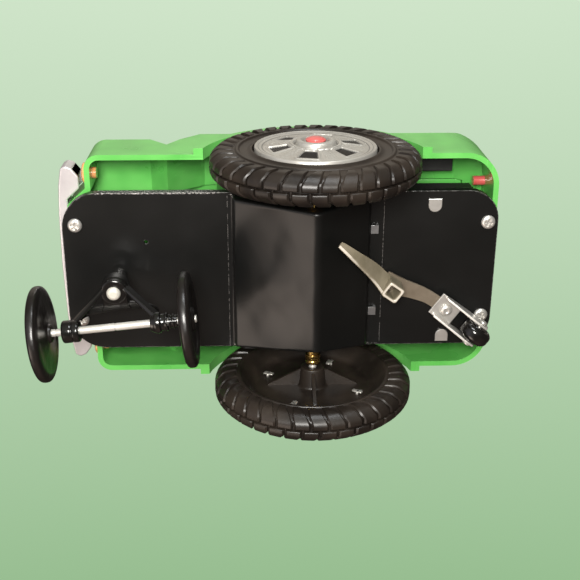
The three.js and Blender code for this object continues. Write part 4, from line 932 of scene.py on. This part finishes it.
def hubcapFace(radius, turn):
    # height over the seat as a function of radius and angle: stepped rim, cone, ribs, windows and ring
    h = hubcap
    cone = np.interp(radius, *np.array(h["cone"]).T)
    edge = np.sqrt(np.clip(1 - ((radius - 22.9) / 0.75) ** 2, 0, 1))
    cone = np.where(radius > 22.9, 1.9 + 0.6 * edge, cone)
    step = np.pi / h["windows"]
    local = (turn - math.radians(h["firstWindow"]) + step) % (2 * step) - step
    p, q = radius * np.cos(local), np.abs(radius * np.sin(local))
    share = np.clip((p - h["windowIn"]) / (h["windowOut"] - h["windowIn"]), 0, 1)
    wide = h["halfIn"] + (h["halfOut"] - h["halfIn"]) * share
    lean = math.cos(math.atan2(h["halfOut"] - h["halfIn"], h["windowOut"] - h["windowIn"]))
    middle, reach = (h["windowIn"] + h["windowOut"]) / 2, (h["windowOut"] - h["windowIn"]) / 2
    a, b = np.abs(p - middle) - reach + 0.9, (q - wide) * lean + 0.9
    outside = np.hypot(np.maximum(a, 0), np.maximum(b, 0)) + np.minimum(np.maximum(a, b), 0) - 0.9
    inWindow = 1 - smooth(-0.15 - h["frame"], 0.10 - h["frame"], outside)
    frameRise = h["frameHigh"] * (1 - smooth(0.30, h["frame"] + 0.15, np.abs(outside)))
    hatch = 0.08 * np.cos(p * 2 * np.pi / 0.9)
    onCone = smooth(9.6, 10.4, radius) * (1 - smooth(19.6, 20.2, radius))
    between = onCone * smooth(0.6, 1.0, outside)
    barSide = np.abs(np.abs(local) - step) * radius / 4.2
    barHatch = 0.16 * smooth(-0.2, 0.5, np.cos(p * 2 * np.pi / 1.55)) * (1 - smooth(0.35, 0.5, barSide))
    rib = h["ribHigh"] * np.cos(turn * h["ribs"])
    face = cone + between * (rib + barHatch) + frameRise * smooth(9.0, 9.6, radius)
    face = face * (1 - inWindow) + (cone - h["windowDeep"] + hatch) * inWindow
    ringRise = np.sqrt(np.clip(1 - ((radius - h["ring"]) / h["ringHalf"]) ** 2, 0, 1))
    flange = 0.5 * (1 - smooth(9.9, 10.3, radius)) * smooth(8.6, 8.9, radius)
    face = face + flange
    face = np.where(ringRise > 0, np.maximum(face, 3.6 + 1.4 * ringRise), face)
    # the grooves are dented a little and painted dark, painted shade; the disc inside the centre ring is dark
    # as well
    groove = sum(dark * np.exp(-(((radius - at) / half) ** 2)) for at, half, dark in h["grooves"])
    groove = groove + (radius < h["ring"] - h["ringHalf"] - 0.05)
    return face - 0.15 * np.minimum(groove, 1), np.clip(inWindow + groove, 0, 1)


def makeHubcap(name, side):
    node = "hubcap_" + name
    h = hubcap
    low, high = span(node)
    back = max(abs(low[1]), abs(high[1])) - 5.0  # underside of the cap's skirt
    radii = np.linspace(0, h["rim"], h["rings"])
    turn = np.linspace(0, 2 * np.pi, h["segments"], endpoint=False)
    r, a = np.meshgrid(radii, turn, indexing="ij")
    height, dark = hubcapFace(r, a)
    front = np.stack([r * np.cos(a), side * (back + height), r * np.sin(a)], -1)
    skirt = front[-1:].copy()
    skirt[..., 1] = side * back
    middle = np.zeros_like(skirt)
    middle[..., 1] = side * back
    parts = [gridPart(np.concatenate([front, skirt, middle]), False, True)]
    reach = min(abs(low[1]), abs(high[1]))
    # each tab's leg runs through the web to `reach`, where its flap is folded flat
    t = h["tabHalf"]
    leg = roundCorners([(-t, reach), (t, reach), (t, back + 0.4), (-t, back + 0.4)], [0.9, 0.9, 0, 0], 4)
    leg = moved(slabPart(leg, -0.5, 0.5, 0.15), lambda points: points[:, [2, 1, 0]] + (h["tabCircle"], 0, 0))
    near, far = h["fold"]
    flap = [(near, 0.2 - t), (far, 0.05 - t), (far, t - 0.05), (near, t - 0.2)]
    flap = slabPart(roundCorners(flap, [0.9, 0.5, 0.5, 0.9], 4), reach, reach + 0.5, 0.15)
    flap = moved(flap, lambda points: points[:, [0, 2, 1]])
    for degrees in h["tabs"]:
        spin = turned(degrees, "y")
        parts += [moved(part, lambda points: spin(points * (1, side, 1))) for part in (leg, flap)]
    piece = pieceFor(node, "_face", parts, sharp=50)
    # the windows' floors are black, and the grooves' dark lines are painted shade
    spots = np.zeros(len(piece.data.vertices) * 3)
    piece.data.vertices.foreach_get("co", spots)
    spots = (spots.reshape(-1, 3) - axle) / mm
    radius = np.hypot(spots[:, 0], spots[:, 2])
    shade = hubcapFace(radius, np.arctan2(spots[:, 2], spots[:, 0]))[1]
    shade = shade * (side * spots[:, 1] > back + 0.2) * (radius < h["rim"])
    piece.data.attributes.new("recess", "FLOAT", "POINT").data.foreach_set("value", shade.astype(np.float32))


def makeCentreCap(name, side):
    node = "centre_cap_" + name
    low, high = span(node)
    foot = min(abs(low[1]), abs(high[1]))
    radius = high[0]
    top = foot + hubcap["domeHigh"]
    rise = np.linspace(0, np.pi / 2, 14)
    dome = np.column_stack([(radius - 0.5) * np.cos(rise), foot + 0.9 + (top - foot - 0.9) * np.sin(rise)])
    wall = [(0, foot), (radius - 0.2, foot), (radius, foot + 0.2), (radius, foot + 0.7)]
    profile = np.concatenate([wall, [(radius - 0.3, foot + 0.9)], dome])
    profile[:, 1] *= side
    pieceFor(node, "_dome", [revolve(profile, 48, False)])


for name, side in (("left", 1), ("right", -1)):
    makeDriveWheel(name, side)
    makeHubcap(name, side)
    makeCentreCap(name, side)
print("drive wheels, hubcaps and centre caps made")


# gearbox cover: one pressed sheet
gearCover = {
    "front": 32.6,
    "rear": -23.0,
    "ridge": -1.0,
    "shoulderZ": 3.0,
    "sheet": 0.6,
    "rearFlange": 5.6,
    "frontFlange": 2.0,
    "sidePull": 3.2,  # the sides close in by this at the ridge
    "dent": 1.1,  # depth of the soft hollow in each slope
    "ripple": 0.05,
    "across": 120,
    "along": 150,
}


def makeGearCover():
    # height is a function of x (flanges, shoulders, slopes and ridge, all eased) plus soft dents;
    # at each x the section runs down one side wall, across the floor and up the other side
    c = gearCover
    low, high = span("gearbox_cover")
    rim = high[2]
    half = high[1]
    line = roundCorners(
        [
            (c["rear"] - c["rearFlange"], rim),
            (c["rear"] + 0.3, rim),
            (c["rear"] + 0.3, c["shoulderZ"]),
            (c["ridge"], low[2]),
            (c["front"] - 0.3, c["shoulderZ"]),
            (c["front"] - 0.3, rim),
            (c["front"] + c["frontFlange"], rim),
        ],
        [0, 1.0, 1.6, 2.2, 1.6, 1.0, 0],
        9,
        closed=False,
    )
    travel = np.concatenate([[0], np.cumsum(np.linalg.norm(np.diff(line, axis=0), axis=1))])
    even = np.unique(np.concatenate([travel, np.linspace(0, travel[-1], c["along"])]))
    x, z = np.interp(even, travel, line[:, 0]), np.interp(even, travel, line[:, 1])
    z = np.maximum(z, low[2])
    deep = np.clip((rim - z) / (rim - low[2]), 0, 1)
    floorHalf = half - c["sidePull"] * deep**1.1
    wall = np.linspace(0, 1, 8)
    fillet = 1.3 * np.minimum(1, deep * 6)
    t = np.linspace(-1, 1, c["across"])
    # across the floor
    y = t[None, :] * (floorHalf - fillet)[:, None]
    zFloor = np.broadcast_to(z[:, None], y.shape)
    bend = np.linspace(0, np.pi / 2, 6)[None, :]
    yBend = (floorHalf - fillet)[:, None] + fillet[:, None] * np.sin(bend)
    zBend = z[:, None] + fillet[:, None] * (1 - np.cos(bend))
    yWall = floorHalf[:, None] + (half - floorHalf)[:, None] * wall[None, :]
    zWall = (z + fillet)[:, None] + (rim - z - fillet)[:, None] * wall[None, :]
    right = np.concatenate([yBend[:, 1:], yWall[:, 1:]], 1)
    rightZ = np.concatenate([zBend[:, 1:], zWall[:, 1:]], 1)
    allY = np.concatenate([-right[:, ::-1], y, right], 1)
    allZ = np.concatenate([rightZ[:, ::-1], zFloor, rightZ], 1)
    allX = np.broadcast_to(x[:, None], allY.shape)
    # soft dents in the slopes, exp(-((x - middle) / reach)^2), fading out towards every edge
    inner = np.clip(1 - (allY / (half - 3.0)) ** 4, 0, 1) * smooth(0.12, 0.5, deep)[:, None]
    frontSide = np.exp(-(((allX - 17) / 8.5) ** 2)) * (1 - 1.1 * np.exp(-(((allY + 3) / 10.0) ** 2)))
    rearSide = 0.5 * np.exp(-(((allX + 12) / 6.0) ** 2))
    ripple = np.sin(allX * 0.62 + 0.8 * np.sin(allY * 0.23)) * np.cos(allY * 0.31 + 0.5 * np.sin(allX * 0.4))
    allZ = allZ + inner * (c["dent"] * (frontSide + rearSide) + c["ripple"] * ripple)
    outside = np.stack([allX, allY, allZ], -1)
    # the inner skin is the outer one moved in along its normals
    rise = np.gradient(outside, axis=0), np.gradient(outside, axis=1)
    normal = np.cross(rise[0], rise[1])
    normal /= np.maximum(np.linalg.norm(normal, axis=-1, keepdims=True), 1e-9)
    inside = outside + normal * c["sheet"]
    rows, cols = outside.shape[:2]
    points = np.concatenate([outside.reshape(-1, 3), inside.reshape(-1, 3)])
    skin = gridFaces(rows, cols)
    back = gridFaces(rows, cols, offset=rows * cols)[:, ::-1]
    loop = np.concatenate([
        np.arange(cols), np.arange(1, rows) * cols + cols - 1,
        (rows - 1) * cols + np.arange(cols - 2, -1, -1), np.arange(rows - 2, 0, -1) * cols,
    ])
    after = np.roll(loop, -1)
    rimFaces = np.stack([loop, loop + rows * cols, after + rows * cols, after], -1)
    faces = np.concatenate([skin, back, rimFaces]).tolist()
    pieceFor("gearbox_cover", "_sheet", [(points, faces, 0)], sharp=60)


makeGearCover()


# pan-head screws, rivets and folded tabs
screw = {
    "rings": 40,
    "segments": 96,
    "thick": 1.3,  # from the crown to the flat under the head
    "crown": 1.25,
    "cross": 3.4,  # length, half width and depth of the cross recess
    "slot": 0.38,
    "deep": 0.85,
    "turn": 20.0,
    "shank": 1.4,
}


def makeScrew(node):
    # dome height over polar coordinates, less a cross recess with sloping sides
    low, high = span(node)
    centre = (low + high)[:2] / 2
    radius = (high[0] - low[0]) / 2
    flat = low[2] + screw["thick"]
    out = np.linspace(0, 1, screw["rings"]) ** 0.85 * radius
    around = np.linspace(0, 2 * np.pi, screw["segments"], endpoint=False)
    r, a = np.meshgrid(out, around, indexing="ij")
    dome = screw["crown"] * np.sqrt(np.clip(1 - (r / radius) ** 3.2, 0, 1))
    u = r * np.cos(a - math.radians(screw["turn"]))
    v = r * np.sin(a - math.radians(screw["turn"]))

    def arm(along, side):
        wide = 1 - smooth(screw["slot"], screw["slot"] + 0.22, np.abs(side))
        return wide * (1 - smooth(screw["cross"] / 2 - 0.25, screw["cross"] / 2 + 0.1, np.abs(along)))

    cross = np.maximum(arm(u, v), arm(v, u)) * screw["deep"] * (1 - 0.35 * r / radius)
    head = np.stack([centre[0] + r * np.cos(a), centre[1] + r * np.sin(a), flat - dome + cross], -1)
    back = head[-1:].copy()
    middle = back.copy()
    middle[..., 0], middle[..., 1] = centre
    shank, end = screw["shank"], high[2]
    shaft = [(0, flat - 0.1), (shank, flat - 0.1), (shank, end - 0.8), (shank / 2, end), (0, end)]
    parts = [
        gridPart(np.concatenate([head, back, middle]), False, True),
        revolve(shaft, 24, False, centre, axis="z"),
    ]
    pieceFor(node, "_turned", parts, sharp=50)


for node in [name for name in frame["nodes"] if name.startswith("screw_")]:
    makeScrew(node)

rivets = {
    # radius and height of the domed head, depth of its hollow middle, finish
    "pivot_rivet": (2.75, 1.7, 0.0, "dull_nickel"),
    "lever_rivet": (2.6, 1.3, 0.2, None),
}


def makeRivet(node, radius, tall, hollow, finish):
    # domed head below, shank, and a spread washer end above the base plate
    low, high = span(node)
    centre = (low + high)[:2] / 2
    shank = 1.5
    flare = (high[0] - low[0]) / 2
    bottom, top = low[2], high[2]
    corners = [  # radius, height, easing
        (0, bottom + hollow, 0), (0.7, bottom + hollow, 0.2), (1.0, bottom, 0.25),
        (radius * 0.55, bottom, 0.6), (radius * 0.9, bottom + tall * 0.35, 0.7),
        (radius, bottom + tall * 0.8, 0.3), (radius, bottom + tall, 0.15),
        (shank, bottom + tall, 0), (shank, top - 1.2, 0), (flare, top - 1.2, 0.2),
        (flare, top - 0.5, 0.3), (flare - 1.2, top, 0.5), (0, top, 0),
    ]
    pieceFor(node, "_headed", [revolve(eased(corners, 5, False), 48, False, centre, axis="z")], finish=finish)


for node, look in rivets.items():
    makeRivet(node, *look)

holderTab = {"long": 5.0, "half": 2.7, "back": 2.3, "thick": 0.7, "legHalf": 1.8}


def makeHolderTab(node):
    # a leg and a flap; the flap's flat edge faces outboard, its round end the centre line
    t = holderTab
    low, high = span(node)
    x, y = ((low + high) / 2)[:2]
    inward = -np.sign(y)
    turn = np.linspace(-np.pi / 2, np.pi / 2, 12)
    nose = np.column_stack([t["long"] - t["half"] + t["half"] * np.cos(turn), t["half"] * np.sin(turn)])
    outline = np.concatenate([[(-0.5, t["half"]), (-0.5, -t["half"])], nose])
    flap = slabPart(outline, low[2], low[2] + t["thick"], 0.2)
    side = t["legHalf"]
    leg = slabPart([(-0.5, -side), (0.5, -side), (0.5, side), (-0.5, side)], low[2] + 0.3, high[2], 0.15)
    lay = lambda points: points[:, [1, 0, 2]] * (1, inward, 1) + (x, y - inward * t["back"], 0)
    parts = [moved(flap, lay), moved(leg, lambda points: points + (low[0] + 0.5, y, 0))]
    pieceFor(node, "_bent", parts, sharp=40)


makeHolderTab("holder_tab_left")
makeHolderTab("holder_tab_right")
print("cover, screws, rivets and tabs made")


# bushes, drive axle
bush = {"bore": 1.85, "step": 0.6, "collarAt": 6.9}
driveAxleMarks = (20.0, 39.3, 47.5)  # shallow turned grooves, either side of the middle


def makeBush(name, side):
    node = "bush_" + name
    low, high = span(node)
    radius, bore = high[2], bush["bore"]
    near, far = sorted((abs(low[1]), abs(high[1])))
    barrel, collar = radius - bush["step"], near + bush["collarAt"]
    profile = eased(
        [
            (bore, near, 0.1), (barrel, near, 0.2), (barrel, collar, 0.05), (radius, collar, 0.2),
            (radius, far - 2.2, 0.3), (radius - 0.35, far - 1.7, 0.4), (radius, far - 1.2, 0.3),
            (radius, far, 0.35), (bore, far, 0.2),
        ],
        4,
    )
    pieceFor(node, "_turned", [revolve(profile * (1, side), 48)])


def roundBar(radius, low, high, ease, marks):
    # (radius, along) outline of a bar with eased ends and shallow turned grooves
    corners = [(0, low, 0), (radius, low, ease)]
    for mark in marks:
        for deep, along in ((0, -0.35), (0.22, -0.12), (0.22, 0.12), (0, 0.35)):
            corners.append((radius - deep, mark + along, 0.05))
    return eased(corners + [(radius, high, ease), (0, high, 0)], 4, False)


def makeDriveAxle():
    low, high = span("drive_axle")
    marks = sorted(side * place for place in driveAxleMarks for side in (-1, 1))
    pieceFor("drive_axle", "_turned", [revolve(roundBar(high[2], low[1], high[1], 0.5, marks), 36, False)])


makeBush("left", 1)
makeBush("right", -1)
makeDriveAxle()


# front truck
truck = {
    "trail": 10.7,
    "wheelRadius": 18.8,
    "wheelHalf": 2.4,
    "wheelAt": 28.35,
    "bossLow": -14.0,
    "bossInner": 13.7,
    "bossOuter": 20.4,
    "bore": 1.75,
    # radius, height over the boss's underside and easing, from the top down
    "neck": (
        (1.75, 18.4, 0.1), (2.9, 18.4, 0.1), (3.1, 18.2, 0.2), (4.7, 8.4, 0.3), (5.6, 8, 0.4), (5.6, 3, 0.3),
        (5.2, 2.4, 0.3), (5.2, 0.3, 0.3), (4.7, 0, 0.3), (1.75, 0, 0.1),
    ),
    # half outline of the block under the boss: x, y, easing
    "block": ((1.0, 4.6, 0.3), (-6.0, 5.1, 0.8), (-7.6, 6.0, 0.7)),
    # rise over the axle and half span of the arched web's upper and lower edge
    "arch": ((0.6, 5.6, 16.2), (-0.2, 2.9, 14.4)),
    "axleMarks": (-23.0, 0.0, 23.0),
}


def localFrame(pivotNode, jointName):
    # from a body's own axes, its pivot at the origin and +Y along the joint's axis, to the vehicle's
    low, high = span(pivotNode)
    place = ((low + high) / 2)[:2]
    x, y, z = jointAxes[jointName]
    return turned(math.degrees(math.atan2(-x, y)), "z", (place[0], place[1], 0))


truckToRow = localFrame("pivot_rivet", "truck_wheel_spin")
wheelLow, wheelHigh = span("truck_wheel_left")
truckAxle = (-truck["trail"], (wheelLow[2] + wheelHigh[2]) / 2)  # local x and z


def truckBar(a, b, half, high):
    # a bar from a to b whose rounded section is 2 * half wide and `high` deep
    a, b = np.array(a, float), np.array(b, float)
    along = (b - a) / np.linalg.norm(b - a)
    flatSide = np.cross(along, (0, 0, 1))
    flatSide /= np.linalg.norm(flatSide)
    deep = np.cross(flatSide, along)
    tall = high / 2
    section = roundCorners([(-half, -tall), (half, -tall), (half, tall), (-half, tall)], 0.45, 4)
    ring = section[:, :1] * flatSide + section[:, 1:] * deep
    return tubePart(np.stack([a + ring, b + ring]))


def makeTruckFrame():
    # swivel boss with a stepped collar, a block under it, two thin legs, an arched web and two axle bosses
    t = truck
    low = t["bossLow"]
    axleX, axleZ = truckAxle
    parts = [revolve(eased(np.array(t["neck"]) + (0, low, 0), 5), 64, axis="z")]
    half = np.array(t["block"])
    block = np.concatenate([half * (1, -1, 1), half[::-1]])
    parts.append(slabPart(eased(block, 4), low + 0.4, low + 6.5, 0.35))
    for side in (-1, 1):
        foot = (axleX + 2.2, side * 16.6, axleZ + 0.6)
        parts.append(truckBar((1.6, side * 3.6, low + 3.0), foot, 0.85, 4.6))
    # each edge of the web is half an ellipse over the axle
    turn = np.linspace(0, np.pi, 33)
    upper, lower = (
        np.column_stack([axleX + lift + rise * np.sin(turn), reach * np.cos(turn)])
        for lift, rise, reach in t["arch"]
    )
    parts.append(slabPart(np.concatenate([upper, lower[::-1]]), low + 0.9, low + 2.5, 0.2))
    a, b, bore = t["bossInner"], t["bossOuter"], t["bore"]
    left = [
        (bore, a), (3.2, a), (3.5, a + 1), (4.1, a + 2), (4.1, b - 3), (3.3, b - 2.6), (3.3, b - 1),
        (3.6, b - 0.8), (3.6, b), (bore, b),
    ]
    right = [
        (bore, a), (3.9, a), (4.4, a + 0.5), (4.4, a + 2.4), (4.1, a + 2.9), (4.4, a + 3.4),
        (4.4, b - 0.5), (3.9, b), (bore, b),
    ]
    parts += [
        revolve(roundCorners(outline, 0.3, 4) * (1, side), 48, centre=truckAxle)
        for side, outline in ((-1, right), (1, left))
    ]
    pieceFor("truck_frame", "_moulded", parts, toRow=truckToRow)
    # grooved spacer between the left boss and its wheel
    a, b = b + 0.25, t["wheelAt"] - t["wheelHalf"] - 1.9
    steps = [
        (bore, a), (2.9, a), (2.9, a + 0.7), (2.4, a + 0.9), (2.4, a + 1.4), (2.9, a + 1.6),
        (2.9, a + 2.2), (2.4, a + 2.4), (2.4, b), (bore, b),
    ]
    spacer = revolve(roundCorners(steps, 0.12, 3), 40, centre=truckAxle)
    makePiece("truck_spacer", [spacer], "gloss_black_plastic", "front_truck", toRow=truckToRow)


def makeTruckWheel(name, side):
    # solid round-shouldered tyre, nearly flush inside and with a dished web outside
    r, half = truck["wheelRadius"], truck["wheelHalf"]
    outline = eased(
        [
            (1.8, -half - 1.5, 0.2), (3.4, -half - 1.5, 0.4), (3.8, -half - 0.2, 0.6),
            (r - 6.0, -half + 0.3, 1.5), (r - 2.6, -half, 1.4), (r - 0.3, -half + 0.9, 1.0), (r, 0.0, 1.0),
            (r - 0.3, half - 0.9, 1.0), (r - 2.6, half, 1.2), (r - 5.2, half - 0.4, 0.5), (r - 6.2, 1.1, 0.6),
            (5.0, 1.1, 0.8), (4.2, half + 0.1, 0.4), (1.8, half + 0.2, 0.3),
        ],
        6,
    )
    outline[:, 1] = side * (truck["wheelAt"] + outline[:, 1])
    parts = [revolve(outline, 120, centre=truckAxle)]
    pieceFor("truck_wheel_" + name, "_moulded", parts, toRow=truckToRow, finish="wheel_gloss")


def makeTruckAxle():
    end = truck["wheelAt"] + truck["wheelHalf"] + 0.8
    profile = roundBar(1.5, -end, end, 0.45, truck["axleMarks"])
    pieceFor("truck_axle", "_turned", [revolve(profile, 36, False, truckAxle)], toRow=truckToRow)


makeTruckFrame()
makeTruckWheel("left", 1)
makeTruckWheel("right", -1)
makeTruckAxle()
print("front truck made")


# steering lever, clevis, roller
steering = {
    "reach": 14.6,  # from the rivet to the roller's pin
    "rollerRadius": 6.6,
    "rollerHalf": 3.2,
    "pinRadius": 1.0,
    "sheet": 1.2,
    # outline of the lever's tail: x, y, easing
    "tail": (
        (-4, -2.8, 0.8), (4, -2.7, 2), (9, -2.9, 2), (16, -5.2, 3), (22, -8.2, 1.5), (29.4, -8.3, 0.8),
        (29.4, -0.6, 0.8), (22, 0.3, 3), (14, 2.2, 3), (8, 2.8, 2), (-4, 2.8, 0.8),
    ),
    "socket": (21.9, 29.3, -8.3, -1.3),  # outside, in x and y
    "socketLow": 5.4,  # its lip over the blade's foot
    "socketWall": 1.3,
    "bladeFrom": (27.4, -7.7),
    "bladeTip": 57.0,
    "bladeHalf": 0.75,
}
leverToRow = localFrame("lever_rivet", "roller_spin")
rollerLow, rollerHigh = span("tail_roller")
rollerAxle = (-steering["reach"], (rollerLow[2] + rollerHigh[2]) / 2)


def makeRoller():
    # half of the outline, mirrored
    r, half = steering["rollerRadius"], steering["rollerHalf"]
    side = np.array([
        (1.35, -half, 0.1), (3.0, -half, 0.2), (3.2, -half + 0.5, 0.2), (r - 1.9, -half + 0.5, 0.2),
        (r - 1.6, -half, 0.4), (r, -half + 1.3, 1.1),
    ])
    profile = eased(np.concatenate([side, side[::-1] * (1, -1, 1)]), 5)
    pieceFor("tail_roller", "_moulded", [revolve(profile, 64, centre=rollerAxle)], toRow=leverToRow)


def makeRollerPin():
    end, r = steering["rollerHalf"] + 2.2, steering["pinRadius"]
    top = end + 1.0
    head = np.array([(0, top, 0), (0.8, top, 0.5), (1.75, end + 0.55, 0.3), (1.8, end, 0.1), (r, end, 0)])
    profile = eased(np.concatenate([head * (1, -1, 1), head[::-1]]), 4, False)
    pieceFor("roller_pin", "_headed", [revolve(profile, 36, False, rollerAxle)], toRow=leverToRow)


def makeLever():
    # pressed steel: a tapering tail, a square socket standing below it and a slanting finger blade;
    # local +X runs from the rivet to the finger's tip
    t = steering
    low, high = span("steering_lever")
    tailLow, tailHigh = high[2] - t["sheet"], high[2]
    lip = low[2] + t["socketLow"]
    # the tail takes finish 1, the lever's steel in painted shade
    parts = [(*slabPart(eased(t["tail"], 6), tailLow, tailHigh, 0.25)[:2], 1)]
    # outer wall down to the lip, across it and up inside: inset, easing and height of each loop
    wall = t["socketWall"]
    loops = []
    for inset, ease, z in (
        (0, 1.2, tailLow + 0.3), (0, 1.2, lip + 0.25), (0.25, 1.1, lip),
        (wall - 0.25, 0.8, lip), (wall, 0.7, lip + 0.25), (wall, 0.7, tailLow + 0.1),
    ):
        x0, x1, y0, y1 = np.array(t["socket"]) + np.array([1, -1, 1, -1]) * inset
        ring = roundCorners([(x0, y0), (x1, y0), (x1, y1), (x0, y1)], ease, 5)
        loops.append(np.column_stack([ring, np.full(len(ring), z)]))
    parts.append(tubePart(np.stack(loops)))
    # the blade's lower edge runs from the socket's corner to the tip, its face leans back from there
    along = np.linspace(0, 1, 36)
    startX, startY = t["bladeFrom"]
    x = startX + (t["bladeTip"] - startX) * along
    y = startY * (1 - along) + 0.9 * np.sin(np.pi * along)
    z = lip + 0.2 - (t["socketLow"] + 0.2) * smooth(0.15, 0.8, along)
    lean = 4.6 * (1 - along) ** 0.75 + 0.9
    rise = 5.6 * (1 - along) ** 1.3 + 0.9
    half = t["bladeHalf"]
    edge = [(y + u - half, z + w) for u, w in ((-0.1, 0.25), (0.2, 0.0), (1.2, 0.0), (1.5, 0.25))]
    edge += [(y + lean + half, z + rise), (y + lean - half * 0.6, z + rise + 0.5)]
    parts.append(tubePart(np.stack([np.column_stack([x, *pair]) for pair in edge], 1)))
    piece = pieceFor("steering_lever", "_pressed", parts, sharp=40, toRow=leverToRow)
    # finish 1: the lever's steel in painted shade
    piece.data.materials.append(finishes["lever_dull"])


makeRoller()
makeRollerPin()
makeLever()
dressedCopy("roller_clevis", 0.28, 3, 30)
print("steering lever and roller made")


# body, plate, trim
dressedCopy("body_shell", 0.55, 3, 30, sharp=28)
dressedCopy("base_plate", 0.35, 3, 30, sharp=30)
dressedCopy("bumper", 0.75, 4, 30, finish="plated_trim")
dressedCopy("battery_door", 0.4, 3)
dressedCopy("grille", 0.3, 2, flat=0)
for node in ("windscreen", "rear_window", "side_window_left", "side_window_right"):
    dressedCopy(node, 0.3, 2)

lens = {"thick": 2.0, "crown": 0.95, "ringHigh": 0.09, "rings": 34}


def makeLens(node, faceOut, stem):
    # domed lens with moulded rings, on its stem; faceOut is 1 at the nose and -1 at the tail
    low, high = span(node)
    y, z = (low[1] + high[1]) / 2, (low[2] + high[2]) / 2
    radius = (high[1] - low[1]) / 2
    seat = high[0] - lens["thick"] if faceOut > 0 else low[0] + lens["thick"]
    back = abs((low[0] if faceOut > 0 else high[0]) - seat)
    t = np.linspace(0, 1, 26)
    dome = 1.0 + lens["crown"] * np.sqrt(1 - (1 - t) ** 2) + lens["ringHigh"] * np.cos(t * lens["rings"])
    face = np.column_stack([radius * (1 - t), dome])
    wall = [(0, -back), (stem, -back), (stem, 0.1), (radius - 0.1, 0.1), (radius, 0.4), (radius, 0.8)]
    profile = np.concatenate([wall, face[1:]])
    profile[:, 1] = seat + faceOut * profile[:, 1]
    part = moved(revolve(profile, 64, False, (y, z)), lambda points: points[:, [1, 0, 2]])
    pieceFor(node, "_lens", [part])


for name in ("left", "right"):
    makeLens("headlamp_" + name, 1, 2.3)
    makeLens("tail_lamp_" + name, -1, 2.0)
print("body and trim made")


# gearbox, batteries and switch
softness = {
    "gearbox_frame": 0.2, "motor": 0.4, "idler_shaft_low": 0.15, "idler_shaft_high": 0.15,
    "idler_gear_low": 0.08, "idler_gear_high": 0.08, "axle_gear": 0.08, "motor_pinion": 0.06,
    "battery_holder": 0.3, "battery_front": 0.35, "battery_rear": 0.35, "contact_left": 0.15,
    "contact_right": 0.15, "switch_slider": 0.3, "switch_body": 0.3,
}
for node, width in softness.items():
    dressedCopy(node, width, 2)
print("insides made")
